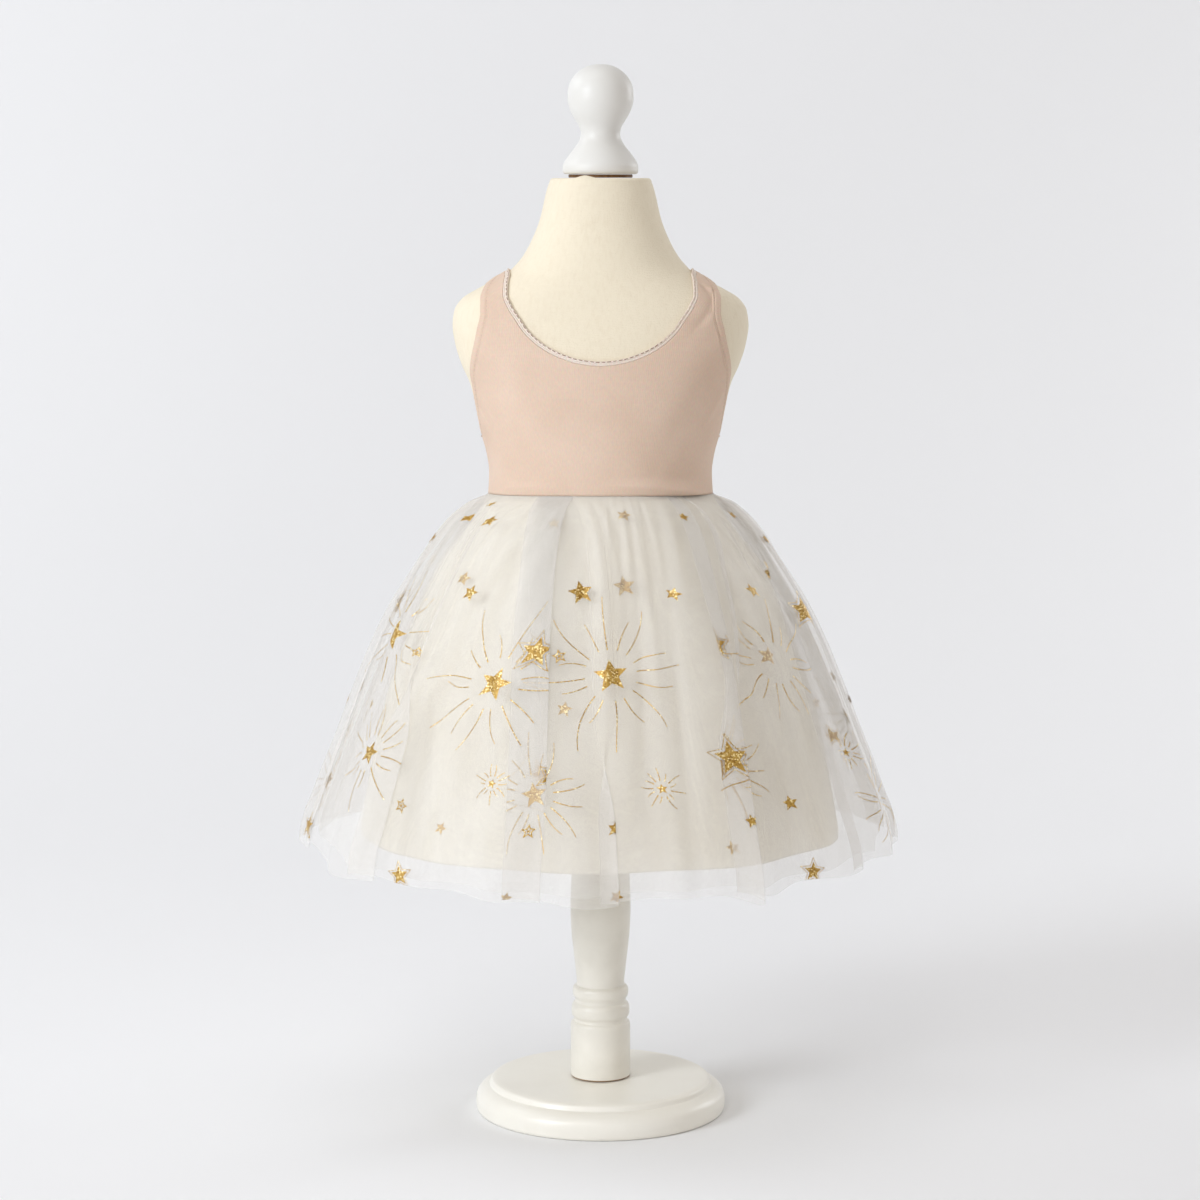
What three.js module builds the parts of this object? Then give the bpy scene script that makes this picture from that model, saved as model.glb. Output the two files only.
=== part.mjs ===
// A toddler's sleeveless dress on a limbless dress form with a turned stand.
// Millimetres, +Z up, the front towards -Y. The origin is the centre of the stand's underside.

import * as THREE from 'three';

// Driving dimensions
const SEAM_GAP = 0.3;
const FORM_GAP = 1.15;
const EDGE_GAP = 0.42;
const KNIT_THICKNESS = 1.2;
const NECK_BINDING_WIDTH = 3.6;
const NECK_BINDING_THICKNESS = 1.9;
const ARMHOLE_HEM_WIDTH = 7;
const ARMHOLE_HEM_THICKNESS = 1.7;
const TULLE_THICKNESS = 1.1;
const LINING_THICKNESS = 1.1;
const LINING_HEM_THICKNESS = 2.2;
const LAYER_GAP = 0.9;
const WAIST_HEIGHT = 477.5;
const WAIST_FRONT_RISE = 6;
const GATHER_COUNT = 38;
const SKIRT_DEPTH_SHARE = 0.92;
const FOLD_HEM_DROP = 0.5;
const SECTION_FULLNESS = 0.02;
const BASE_TOP = 25.5;
const POST_TOP = 395.4;
const NECK_TOP = 716;
const DOWEL_RADIUS = 24;
const DOWEL_HEIGHT = 2.4;
const DOWEL_MIDDLE = NECK_TOP + SEAM_GAP + DOWEL_HEIGHT / 2;
const FINIAL_BOTTOM = NECK_TOP + SEAM_GAP + DOWEL_HEIGHT + SEAM_GAP;
const BINDING_ROUNDNESS = 0.3;
// Half the angle, in radians, between two bodice panels at a side or shoulder seam.
const HALF_SEAM_TURN = 0.0038;

// How finely the surfaces are divided
const FORM_COLUMNS = 36;
const BASE_COLUMNS = 40;
const POST_COLUMNS = 20;
const KNOB_COLUMNS = 24;
// Rows of a bodice panel: those up to the underarm, and those below and beside the neckline.
const SIDE_ROWS = 3;
const FRONT_ROWS = 7;
const NECK_ROWS = 9;
const PANEL_ROWS = FRONT_ROWS + NECK_ROWS;
const HALF_COLUMNS = 9;
const NECK_STEPS = 4 * NECK_ROWS;
const ARMHOLE_STEPS = 2 * (PANEL_ROWS - SIDE_ROWS);
// Small steps along a surface or an edge, by which its slopes are measured.
const FORM_STEP = { u: 0.005, v: 0.2 };
const SKIRT_STEP = { u: 0.02, v: 0.004 };
const EDGE_STEP = 0.002;

// Sections of the dress form, from its underside at the hips to the top of its neck:
// half its width at the sides, and its reach forwards and backwards from the middle.
const FORM_SECTIONS = [
  { height: 396, side: 79, front: 61, back: 59 },
  { height: 403, side: 87, front: 69, back: 66 },
  { height: 430, side: 89, front: 73, back: 68 },
  { height: 478, side: 83, front: 73, back: 64.5 },
  { height: 496, side: 82.1, front: 72.5, back: 63.5 },
  { height: 509, side: 83.8, front: 72.5, back: 64.2 },
  { height: 522, side: 87.2, front: 72.5, back: 65.2 },
  { height: 537, side: 91.8, front: 72.2, back: 66.5 },
  { height: 550, side: 95.2, front: 71.5, back: 67.2 },
  { height: 563, side: 98.8, front: 70.2, back: 67.8 },
  { height: 577, side: 105, front: 68, back: 68.2 },
  { height: 592, side: 109.6, front: 65, back: 68 },
  { height: 606, side: 111.6, front: 61.5, back: 67 },
  { height: 617, side: 110.2, front: 58.5, back: 65 },
  { height: 626, side: 104.4, front: 56, back: 62.4 },
  { height: 633, side: 93.2, front: 54.1, back: 59.6 },
  { height: 640.5, side: 78.6, front: 52, back: 56 },
  { height: 645, side: 70.4, front: 50.7, back: 53.5 },
  { height: 650, side: 65, front: 49.3, back: 51 },
  { height: 657, side: 59, front: 47.8, back: 48.6 },
  { height: 668, side: 52.6, front: 45.4, back: 46 },
  { height: 684, side: 46, front: 41.8, back: 42.6 },
  { height: 712, side: 38.8, front: 37.4, back: 37.6 },
  { height: NECK_TOP, side: 36.4, front: 35.2, back: 35.4 },
];

// The neckline's finished edge, from the middle of the front over the shoulder to the
// middle of the back. The turn is in degrees from the front.
const NECKLINE = [
  { turn: 0, height: 582 },
  { turn: 8, height: 583.6 },
  { turn: 15.5, height: 588 },
  { turn: 22, height: 594.6 },
  { turn: 27.5, height: 603.5 },
  { turn: 33, height: 616 },
  { turn: 40, height: 627 },
  { turn: 52, height: 637.3 },
  { turn: 70, height: 644.6 },
  { turn: 90, height: 647.3 },
  { turn: 108, height: 645.5 },
  { turn: 122, height: 641 },
  { turn: 132, height: 635 },
  { turn: 140, height: 628 },
  { turn: 148, height: 622.5 },
  { turn: 156, height: 619 },
  { turn: 164, height: 617 },
  { turn: 172, height: 616.2 },
  { turn: 180, height: 616 },
];

// The armhole's finished edge, from the underarm to the shoulder: how far it reaches, in
// degrees, in front of the side seam and behind it.
const ARMHOLE = [
  { height: 529, front: 0, back: 0 },
  { height: 532, front: 8, back: 7 },
  { height: 541, front: 12.3, back: 11 },
  { height: 553, front: 14.8, back: 13.5 },
  { height: 566, front: 18.8, back: 17.5 },
  { height: 579, front: 26.5, back: 23.5 },
  { height: 592, front: 33, back: 28.5 },
  { height: 605, front: 37, back: 31.5 },
  { height: 617, front: 38, back: 32 },
  { height: 627.4, front: 32, back: 28 },
  { height: 635.6, front: 17, back: 15.5 },
  { height: 639.8, front: 0, back: 0 },
];
const ARMHOLE_MIDDLE = new THREE.Vector3(100, 0, 588);
const NECK_MIDDLE = new THREE.Vector3(0, 0, 760);

// The three layers of the skirt, each cut as a front and a back. The profile gives how far a
// layer stands out from the waist at the sides, by its share of the way from the waist seam
// down to its hem, and the rows are the shares at which it is divided.
const LINING = {
  offset: FORM_GAP + LINING_THICKNESS / 2,
  thickness: LINING_THICKNESS,
  hemThickness: LINING_HEM_THICKNESS,
  hemFront: 219,
  hemSideLift: 0,
  gatherShare: 0,
  foldShare: 0,
  wave: { size: 2.6, count: 9, phase: 2.2 },
  columns: 32,
  rows: [0, 0.05, 0.13, 0.24, 0.4, 0.65, 0.965, 1],
  profile: [
    { fall: 0, flare: 0 },
    { fall: 0.03, flare: 4.5 },
    { fall: 0.1, flare: 16.5 },
    { fall: 0.2, flare: 36.5 },
    { fall: 0.35, flare: 54.5 },
    { fall: 0.5, flare: 69.5 },
    { fall: 0.65, flare: 81 },
    { fall: 0.82, flare: 89.5 },
    { fall: 1, flare: 96 },
  ],
};
const TULLE_INNER = {
  offset: LINING.offset + (LINING_THICKNESS + TULLE_THICKNESS) / 2 + LAYER_GAP,
  thickness: TULLE_THICKNESS,
  hemThickness: TULLE_THICKNESS,
  hemFront: 212,
  hemSideLift: 8,
  gatherShare: 0.7,
  foldShare: 0.85,
  wave: { size: 0, count: 0, phase: 0 },
  columns: GATHER_COUNT,
  rows: [0, 0.03, 0.11, 0.26, 0.55, 1],
  profile: [
    { fall: 0, flare: 0 },
    { fall: 0.03, flare: 8 },
    { fall: 0.09, flare: 23 },
    { fall: 0.16, flare: 36 },
    { fall: 0.24, flare: 48.5 },
    { fall: 0.32, flare: 60.5 },
    { fall: 0.41, flare: 71 },
    { fall: 0.53, flare: 84 },
    { fall: 0.67, flare: 97.5 },
    { fall: 0.81, flare: 111 },
    { fall: 1, flare: 125 },
  ],
};
const TULLE_OUTER = {
  offset: TULLE_INNER.offset + TULLE_THICKNESS + LAYER_GAP,
  thickness: TULLE_THICKNESS,
  hemThickness: TULLE_THICKNESS,
  hemFront: 209.5,
  hemSideLift: 8,
  gatherShare: 1,
  foldShare: 1,
  wave: { size: 0, count: 0, phase: 0 },
  columns: 2 * GATHER_COUNT,
  rows: [0, 0.03, 0.1, 0.22, 0.4, 0.68, 1],
  profile: [
    { fall: 0, flare: 0 },
    { fall: 0.03, flare: 11.5 },
    { fall: 0.09, flare: 27.5 },
    { fall: 0.16, flare: 41 },
    { fall: 0.24, flare: 54 },
    { fall: 0.32, flare: 66.5 },
    { fall: 0.41, flare: 78 },
    { fall: 0.53, flare: 91 },
    { fall: 0.67, flare: 105 },
    { fall: 0.81, flare: 119 },
    { fall: 1, flare: 134 },
  ],
};

// The gathers are not equally wide nor equally high: their places shift by the first two
// waves, as a share of a gather, and their rise changes by the third.
const GATHER_SHIFTS = [
  { size: 0.35, count: 3, phase: 0.4 },
  { size: 0.2, count: 7, phase: 2 },
];
const GATHER_RISE_WAVE = { size: 0.3, count: 5, phase: 0.8 };

// How high the gathers of the tulle stand, by the share of the way down.
const GATHER_RISE = [
  { fall: 0, rise: 0 },
  { fall: 0.03, rise: 1.5 },
  { fall: 0.1, rise: 2.3 },
  { fall: 0.25, rise: 2.2 },
  { fall: 0.5, rise: 1.3 },
  { fall: 0.75, rise: 0.7 },
  { fall: 1, rise: 0.4 },
];

// The largest folds of the tulle: each is a soft ridge that grows from where it starts
// down to the hem. Turn and spread are in degrees.
const TULLE_FOLDS = [
  { turn: -3, spread: 8, rise: 9, start: 0.25 },
  { turn: 16, spread: 4, rise: 4, start: 0.1 },
  { turn: 32, spread: 4, rise: 9, start: 0.1 },
  { turn: 51, spread: 6, rise: 5, start: 0.3 },
  { turn: 71, spread: 5, rise: 6, start: 0.15 },
  { turn: 92, spread: 6, rise: 4, start: 0.3 },
  { turn: 111, spread: 7, rise: 11, start: 0.2 },
  { turn: 134, spread: 7, rise: 6, start: 0.15 },
  { turn: 157, spread: 6, rise: 9, start: 0.25 },
  { turn: 181, spread: 7, rise: 6, start: 0.1 },
  { turn: 205, spread: 6, rise: 9, start: 0.2 },
  { turn: 228, spread: 7, rise: 6, start: 0.3 },
  { turn: 250, spread: 7, rise: 9, start: 0.15 },
  { turn: 273, spread: 6, rise: 5, start: 0.2 },
  { turn: 303, spread: 6, rise: 9, start: 0.2 },
  { turn: 322, spread: 5, rise: 4, start: 0.1 },
  { turn: 340, spread: 5, rise: 6, start: 0.1 },
];

// Turned pieces, each from its lowest point on the axis to its highest.
const BASE_PROFILE = [
  { radius: 0, height: 0 },
  { radius: 94.6, height: 0 },
  { radius: 96.3, height: 3 },
  { radius: 96.5, height: 8 },
  { radius: 95, height: 14 },
  { radius: 91.5, height: 18.2 },
  { radius: 86.8, height: 20.2 },
  { radius: 85.6, height: 20.8 },
  { radius: 84.6, height: 23.2 },
  { radius: 83, height: 24.2 },
  { radius: 45, height: BASE_TOP },
  { radius: 0, height: BASE_TOP },
];
const POST_PROFILE = [
  { radius: 0, height: BASE_TOP },
  { radius: 22.4, height: BASE_TOP },
  { radius: 23, height: 26.8 },
  { radius: 23, height: 66.5 },
  { radius: 22.6, height: 68.5 },
  { radius: 20.4, height: 70 },
  { radius: 20.4, height: 73 },
  { radius: 22.2, height: 74.8 },
  { radius: 22.4, height: 79.5 },
  { radius: 21.8, height: 82.5 },
  { radius: 19.5, height: 84.8 },
  { radius: 19.5, height: 87.8 },
  { radius: 21.4, height: 90 },
  { radius: 21.4, height: 95 },
  { radius: 19.8, height: 97 },
  { radius: 18.2, height: 98.2 },
  { radius: 19.2, height: 109 },
  { radius: 20.9, height: 124.5 },
  { radius: 22.6, height: 141 },
  { radius: 23.2, height: 158 },
  { radius: 22.4, height: 184 },
  { radius: 20, height: 230 },
  { radius: 20, height: POST_TOP },
  { radius: 0, height: POST_TOP },
];
const FINIAL_PROFILE = [
  { radius: 0, height: FINIAL_BOTTOM },
  { radius: 26.6, height: FINIAL_BOTTOM },
  { radius: 28.3, height: 720.6 },
  { radius: 28.4, height: 724.4 },
  { radius: 27.2, height: 727.6 },
  { radius: 25, height: 731.4 },
  { radius: 20.6, height: 737 },
  { radius: 16.2, height: 743.2 },
  { radius: 14.8, height: 748.6 },
  { radius: 15.6, height: 753.4 },
  { radius: 19, height: 759.2 },
  { radius: 23, height: 767 },
  { radius: 24.7, height: 776 },
  { radius: 23.8, height: 784 },
  { radius: 19.6, height: 791.6 },
  { radius: 11.6, height: 798 },
  { radius: 0, height: 800.4 },
];

// The slope of a table's column at a row, flattened at turning points and at both ends,
// so that the curve through the rows never swings past them.
function slopeAt(rows, key, column, row) {
  if (row === 0 || row === rows.length - 1) {
    return 0;
  }
  const before = (rows[row][column] - rows[row - 1][column]) / (rows[row][key] - rows[row - 1][key]);
  const after = (rows[row + 1][column] - rows[row][column]) / (rows[row + 1][key] - rows[row][key]);
  return before * after <= 0 ? 0 : (2 * before * after) / (before + after);
}

// The value of a table's column on a smooth curve through its rows.
function valueAt(rows, key, column, at) {
  let row = 0;
  while (row < rows.length - 2 && at > rows[row + 1][key]) {
    row += 1;
  }
  const width = rows[row + 1][key] - rows[row][key];
  const share = THREE.MathUtils.clamp((at - rows[row][key]) / width, 0, 1);
  const start = slopeAt(rows, key, column, row) * width;
  const end = slopeAt(rows, key, column, row + 1) * width;
  const low = rows[row][column];
  const high = rows[row + 1][column];
  const cubic = 2 * (low - high) + start + end;
  const square = 3 * (high - low) - 2 * start - end;
  return ((cubic * share + square) * share + start) * share + low;
}

// A point of the dress form's surface: the turn in radians from the front, positive
// towards +X, and the height.
function formPoint(turn, height) {
  const depthColumn = Math.cos(turn) > 0 ? 'front' : 'back';
  const side = valueAt(FORM_SECTIONS, 'height', 'side', height);
  const depth = valueAt(FORM_SECTIONS, 'height', depthColumn, height);
  const fullness = 1 + SECTION_FULLNESS * Math.sin(2 * turn) ** 2;
  return new THREE.Vector3(side * fullness * Math.sin(turn), -depth * fullness * Math.cos(turn), height);
}

// The two directions in which a surface runs at a point, and its outward normal.
function surfaceFrame(surface, u, v, step) {
  const alongU = surface(u + step.u, v).sub(surface(u - step.u, v)).divideScalar(2 * step.u);
  const alongV = surface(u, v + step.v).sub(surface(u, v - step.v)).divideScalar(2 * step.v);
  const normal = new THREE.Vector3().crossVectors(alongU, alongV).normalize();
  const point = surface(u, v);
  if (normal.x * point.x + normal.y * point.y < 0) {
    normal.negate();
  }
  return { point, alongU, alongV, normal };
}

// Moves a spot of the form's surface by a vector that lies along the surface.
function moveOnForm(spot, move) {
  const frame = surfaceFrame(formPoint, spot.turn, spot.height, FORM_STEP);
  const uu = frame.alongU.dot(frame.alongU);
  const uv = frame.alongU.dot(frame.alongV);
  const vv = frame.alongV.dot(frame.alongV);
  const mu = frame.alongU.dot(move);
  const mv = frame.alongV.dot(move);
  const size = uu * vv - uv * uv;
  return {
    turn: spot.turn + (mu * vv - mv * uv) / size,
    height: spot.height + (mv * uu - mu * uv) / size,
  };
}

// A spot that lies beside an edge on the form, a distance away from the opening that the
// edge goes round.
function besideEdge(edge, t, distance, openingMiddle) {
  const spot = edge(t);
  const ahead = edge(t + EDGE_STEP);
  const behind = edge(t - EDGE_STEP);
  const along = formPoint(ahead.turn, ahead.height).sub(formPoint(behind.turn, behind.height));
  const frame = surfaceFrame(formPoint, spot.turn, spot.height, FORM_STEP);
  const aside = new THREE.Vector3().crossVectors(frame.normal, along).normalize();
  if (aside.dot(frame.point.clone().sub(openingMiddle)) < 0) {
    aside.negate();
  }
  return moveOnForm(spot, aside.multiplyScalar(distance));
}

// The neckline's edge: 0 is the middle of the front, 0.25 the shoulder on the +X side and
// 0.5 the middle of the back.
function necklineEdge(t) {
  const half = t > 0.5 ? t - 1 : t;
  const place = Math.abs(half) * 2 * (NECKLINE.length - 1);
  const row = Math.min(Math.floor(place), NECKLINE.length - 2);
  const turn = THREE.MathUtils.lerp(NECKLINE[row].turn, NECKLINE[row + 1].turn, place - row);
  const height = valueAt(NECKLINE, 'turn', 'height', turn);
  return { turn: THREE.MathUtils.degToRad(Math.sign(half) * turn), height };
}

// The armhole's edge on the +X side: 0 is the underarm, and 0.5 the shoulder, with the
// front of the armhole between them and its back beyond them.
const armholeLoop = new THREE.CatmullRomCurve3([
  ...ARMHOLE.map((row) => new THREE.Vector3(90 - row.front, row.height, 0)),
  ...ARMHOLE.slice(1, -1).reverse().map((row) => new THREE.Vector3(90 + row.back, row.height, 0)),
], true, 'catmullrom', 0.5);

function armholeEdge(t) {
  const spot = armholeLoop.getPoint((t + 1) % 1);
  return { turn: THREE.MathUtils.degToRad(spot.x), height: spot.y };
}

function waistHeight(turn) {
  return WAIST_HEIGHT + WAIST_FRONT_RISE * ((1 + Math.cos(turn)) / 2) ** 2;
}

// A closed wall from a patch of cloth. The patch has spots, each with its place (u, v) and
// the two heights above the surface between which the wall lies, and faces of four spots.
function clothWall(patch, surface, step) {
  const corners = [];
  for (const side of [0, 1]) {
    for (const [u, v, ...heights] of patch.spots) {
      const frame = surfaceFrame(surface, u, v, step);
      corners.push(frame.point.addScaledVector(frame.normal, heights[side]));
    }
  }
  const outer = patch.spots.length;
  const faces = [];
  const edges = new Set();
  for (const [a, b, c, d] of patch.faces) {
    faces.push([a + outer, b + outer, c + outer, d + outer], [d, c, b, a]);
    [[a, b], [b, c], [c, d], [d, a]].forEach(([from, to]) => edges.add(`${from} ${to}`));
  }
  for (const edge of edges) {
    const [from, to] = edge.split(' ').map(Number);
    if (!edges.has(`${to} ${from}`)) {
      faces.push([to + outer, from + outer, from, to]);
    }
  }
  return solidFromFaces(corners, faces);
}

// A solid from corners and flat or slightly bent faces, turned so that it faces outwards.
function solidFromFaces(corners, faces) {
  const fan = (face) => face.slice(2).map((corner, i) => [face[0], face[i + 1], corner]);
  const triangles = faces.flatMap(fan);
  let volume = 0;
  for (const [a, b, c] of triangles) {
    volume += corners[a].dot(new THREE.Vector3().crossVectors(corners[b], corners[c]));
  }
  const index = triangles.flatMap(([a, b, c]) => (volume > 0 ? [a, b, c] : [a, c, b]));
  const places = corners.flatMap((corner) => corner.toArray());
  const geometry = new THREE.BufferGeometry();
  geometry.setAttribute('position', new THREE.Float32BufferAttribute(places, 3));
  geometry.setIndex(index);
  geometry.computeVertexNormals();
  return geometry;
}

// The faces of a grid of spots, row by row.
function gridFaces(rows, columns) {
  const faces = [];
  for (let row = 0; row < rows - 1; row += 1) {
    for (let column = 0; column < columns - 1; column += 1) {
      const here = row * columns + column;
      faces.push([here, here + columns, here + columns + 1, here + 1]);
    }
  }
  return faces;
}

// A patch that runs all the way round: every column at every row, the last column joined
// to the first.
function ringPatch(columns, rows, spotAt) {
  const spots = rows.flatMap((row) => columns.map((column) => spotAt(column, row)));
  const faces = [];
  for (let row = 0; row < rows.length - 1; row += 1) {
    for (let column = 0; column < columns.length; column += 1) {
      const next = (column + 1) % columns.length;
      const here = row * columns.length;
      const below = here + columns.length;
      faces.push([here + column, below + column, below + next, here + next]);
    }
  }
  return { spots, faces };
}

// Equal steps from a start: count of them over the whole length, whose end is left out.
function stepsRound(start, whole, count) {
  return Array.from({ length: count }, (_, i) => start + (whole * i) / count);
}

// The dress form: closed rings of its surface, capped at the hips and at the neck's top.
function dressForm() {
  const turns = stepsRound(0, 2 * Math.PI, FORM_COLUMNS);
  const patch = ringPatch(turns, FORM_SECTIONS.map((row) => row.height), formPoint);
  const lastCorner = patch.spots.length - 1;
  const bottom = turns.map((_, i) => i);
  const top = turns.map((_, i) => lastCorner - i);
  return solidFromFaces(patch.spots, [...patch.faces, bottom, top]);
}

// One row of the right half of a bodice panel: its spot at the middle or the neckline, and
// its spot at the side seam or the armhole. The back panel is the front one's mirror, with
// its own neckline and armhole.
function panelRowEnds(panel, row) {
  const middleTurn = panel === 'front' ? 0 : Math.PI;
  const toLoop = (t, whole) => (panel === 'front' ? t : whole - t);
  const neckShift = NECK_BINDING_WIDTH + EDGE_GAP;
  const armShift = ARMHOLE_HEM_WIDTH + EDGE_GAP;
  const neckShare = Math.max(0, row - FRONT_ROWS) / NECK_ROWS;
  const neckSpot = besideEdge(necklineEdge, toLoop(neckShare / 4, 0.5), neckShift, NECK_MIDDLE);
  const armStep = Math.max(0, row - SIDE_ROWS) / ARMHOLE_STEPS;
  const armSpot = besideEdge(armholeEdge, toLoop(armStep, 1), armShift, ARMHOLE_MIDDLE);
  const waist = waistHeight(middleTurn) + SEAM_GAP;
  const sideWaist = waistHeight(Math.PI / 2) + SEAM_GAP;
  const seamTurn = Math.PI / 2 + (panel === 'front' ? -HALF_SEAM_TURN : HALF_SEAM_TURN);
  const inner = row < FRONT_ROWS
    ? { turn: middleTurn, height: THREE.MathUtils.lerp(waist, neckSpot.height, row / FRONT_ROWS) }
    : neckSpot;
  const outer = row < SIDE_ROWS
    ? { turn: seamTurn, height: THREE.MathUtils.lerp(sideWaist, armSpot.height, row / SIDE_ROWS) }
    : armSpot;
  const keepShort = panel === 'front' ? Math.min : Math.max;
  return [inner, outer].map((spot) => ({ turn: keepShort(spot.turn, seamTurn), height: spot.height }));
}

// A bodice panel. Its two halves share their middle line up to the neckline.
function bodicePanel(panel) {
  const spots = [];
  const addSpot = (turn, height) => spots.push([turn, height, FORM_GAP, FORM_GAP + KNIT_THICKNESS]) - 1;
  const rows = [];
  for (let row = 0; row <= PANEL_ROWS; row += 1) {
    const [inner, outer] = panelRowEnds(panel, row);
    const right = [];
    const left = [];
    for (let column = 0; column <= HALF_COLUMNS; column += 1) {
      const share = column / HALF_COLUMNS;
      const turn = THREE.MathUtils.lerp(inner.turn, outer.turn, share);
      const seamHeight = waistHeight(turn) + SEAM_GAP;
      const height = row === 0 ? seamHeight : THREE.MathUtils.lerp(inner.height, outer.height, share);
      const inMiddle = column === 0 && row <= FRONT_ROWS;
      right.push(addSpot(turn, height));
      left.push(inMiddle ? right[0] : addSpot(-turn, height));
    }
    rows.push([left, right]);
  }
  const faces = [];
  for (let row = 0; row < PANEL_ROWS; row += 1) {
    const [left, right] = rows[row];
    const [leftUp, rightUp] = rows[row + 1];
    for (let column = 0; column < HALF_COLUMNS; column += 1) {
      faces.push([right[column], right[column + 1], rightUp[column + 1], rightUp[column]]);
      faces.push([left[column + 1], left[column], leftUp[column], leftUp[column + 1]]);
    }
  }
  return clothWall({ spots, faces }, formPoint, FORM_STEP);
}

// The narrow binding sewn round the neckline, a little rounded on top.
function neckBinding() {
  const spotAt = (t, share) => {
    const spot = besideEdge(necklineEdge, t, share * NECK_BINDING_WIDTH, NECK_MIDDLE);
    const roundness = 1 - BINDING_ROUNDNESS * (2 * share - 1) ** 2;
    return [spot.turn, spot.height, FORM_GAP, FORM_GAP + NECK_BINDING_THICKNESS * roundness];
  };
  return clothWall(ringPatch(stepsRound(0, 1, NECK_STEPS), [0, 0.5, 1], spotAt), formPoint, FORM_STEP);
}

// The turned band round one armhole. Side 1 is at +X, and -1 is its mirror.
function armholeBand(side) {
  const spotAt = (t, share) => {
    const spot = besideEdge(armholeEdge, t, share * ARMHOLE_HEM_WIDTH, ARMHOLE_MIDDLE);
    return [side * spot.turn, spot.height, FORM_GAP, FORM_GAP + ARMHOLE_HEM_THICKNESS];
  };
  return clothWall(ringPatch(stepsRound(0, 1, ARMHOLE_STEPS), [0, 1], spotAt), formPoint, FORM_STEP);
}

// A wave round the waist: its size, its count in a whole turn and its phase.
function waveAt(wave, turn) {
  return wave.size * Math.sin(wave.count * turn + wave.phase);
}

// Where a gather lies round the waist, in radians.
function gatherTurn(gather) {
  const evenTurn = (2 * Math.PI * gather) / GATHER_COUNT;
  const shift = GATHER_SHIFTS.reduce((sum, wave) => sum + waveAt(wave, evenTurn), 0);
  return evenTurn + (2 * Math.PI * shift) / GATHER_COUNT;
}

// The rise of all the large folds together at one place of the tulle.
function foldRise(turn, fall) {
  const degrees = THREE.MathUtils.radToDeg(turn);
  let rise = 0;
  for (const fold of TULLE_FOLDS) {
    const apart = THREE.MathUtils.euclideanModulo(degrees - fold.turn + 180, 360) - 180;
    const growth = THREE.MathUtils.smoothstep(fall, fold.start, 1);
    rise += fold.rise * growth * Math.exp(-((apart / fold.spread) ** 2));
  }
  return rise;
}

// A point of one skirt layer, by its place in gathers round the waist and its share of the
// way down to the hem.
function skirtPoint(layer, gather, fall) {
  const turn = gatherTurn(gather);
  const waist = waistHeight(turn) - SEAM_GAP;
  const folds = layer.foldShare * foldRise(turn, fall);
  const lift = layer.hemSideLift * Math.abs(Math.sin(turn)) ** 3;
  const hem = layer.hemFront + lift - FOLD_HEM_DROP * folds;
  const gatherRise = (1 + waveAt(GATHER_RISE_WAVE, turn)) * valueAt(GATHER_RISE, 'fall', 'rise', fall);
  const ripple = layer.gatherShare * gatherRise * Math.cos(2 * Math.PI * gather);
  const wave = fall * waveAt(layer.wave, turn);
  const flare = valueAt(layer.profile, 'fall', 'flare', fall) + ripple + folds + wave;
  const seat = formPoint(turn, waist);
  return new THREE.Vector3(
    seat.x + (layer.offset + flare) * Math.sin(turn),
    seat.y - (layer.offset + flare * SKIRT_DEPTH_SHARE) * Math.cos(turn),
    THREE.MathUtils.lerp(waist, hem, fall),
  );
}

// The front or the back of a skirt layer as a wall from side seam to side seam. Its last row
// is thicker where the hem is turned in.
function skirtPanel(layer, panel) {
  const half = layer.thickness / 2;
  const middle = panel === 'front' ? 0 : GATHER_COUNT / 2;
  const surface = (gather, fall) => skirtPoint(layer, gather, fall);
  const spots = [];
  for (const fall of layer.rows) {
    for (let column = 0; column <= layer.columns; column += 1) {
      const gather = middle + GATHER_COUNT * (column / layer.columns - 0.5) / 2;
      const width = surfaceFrame(surface, gather, fall, SKIRT_STEP).alongU.length();
      const inset = column === 0 ? SEAM_GAP / 2 : column === layer.columns ? -SEAM_GAP / 2 : 0;
      spots.push([gather + inset / width, fall, fall < 1 ? -half : half - layer.hemThickness, half]);
    }
  }
  return clothWall({ spots, faces: gridFaces(layer.rows.length, layer.columns + 1) }, surface, SKIRT_STEP);
}

// A turned solid from its profile, which starts and ends on the axis.
function turned(profile, columns) {
  const points = profile.map((row) => new THREE.Vector2(row.radius, row.height));
  return new THREE.LatheGeometry(points, columns).rotateX(Math.PI / 2);
}

// The short round dowel between the neck and the knob.
function neckDowel() {
  const cylinder = new THREE.CylinderGeometry(DOWEL_RADIUS, DOWEL_RADIUS, DOWEL_HEIGHT, KNOB_COLUMNS);
  return cylinder.rotateX(Math.PI / 2);
}

const paint = new THREE.MeshStandardMaterial({ color: '#e9e4d4', roughness: 0.35 });
const whitePaint = new THREE.MeshStandardMaterial({ color: '#eeede9', roughness: 0.3 });
const wood = new THREE.MeshStandardMaterial({ color: '#8a6038', roughness: 0.6 });
const formCloth = new THREE.MeshStandardMaterial({ color: '#eee7d2', roughness: 0.85 });
const knit = new THREE.MeshStandardMaterial({ color: '#e2cab9', roughness: 0.9, side: THREE.DoubleSide });
const satin = new THREE.MeshStandardMaterial({ color: '#f1eee2', roughness: 0.4, side: THREE.DoubleSide });
const tulle = new THREE.MeshStandardMaterial({
  color: '#f2f0ec',
  roughness: 0.8,
  transparent: true,
  opacity: 0.5,
  side: THREE.DoubleSide,
});

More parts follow.
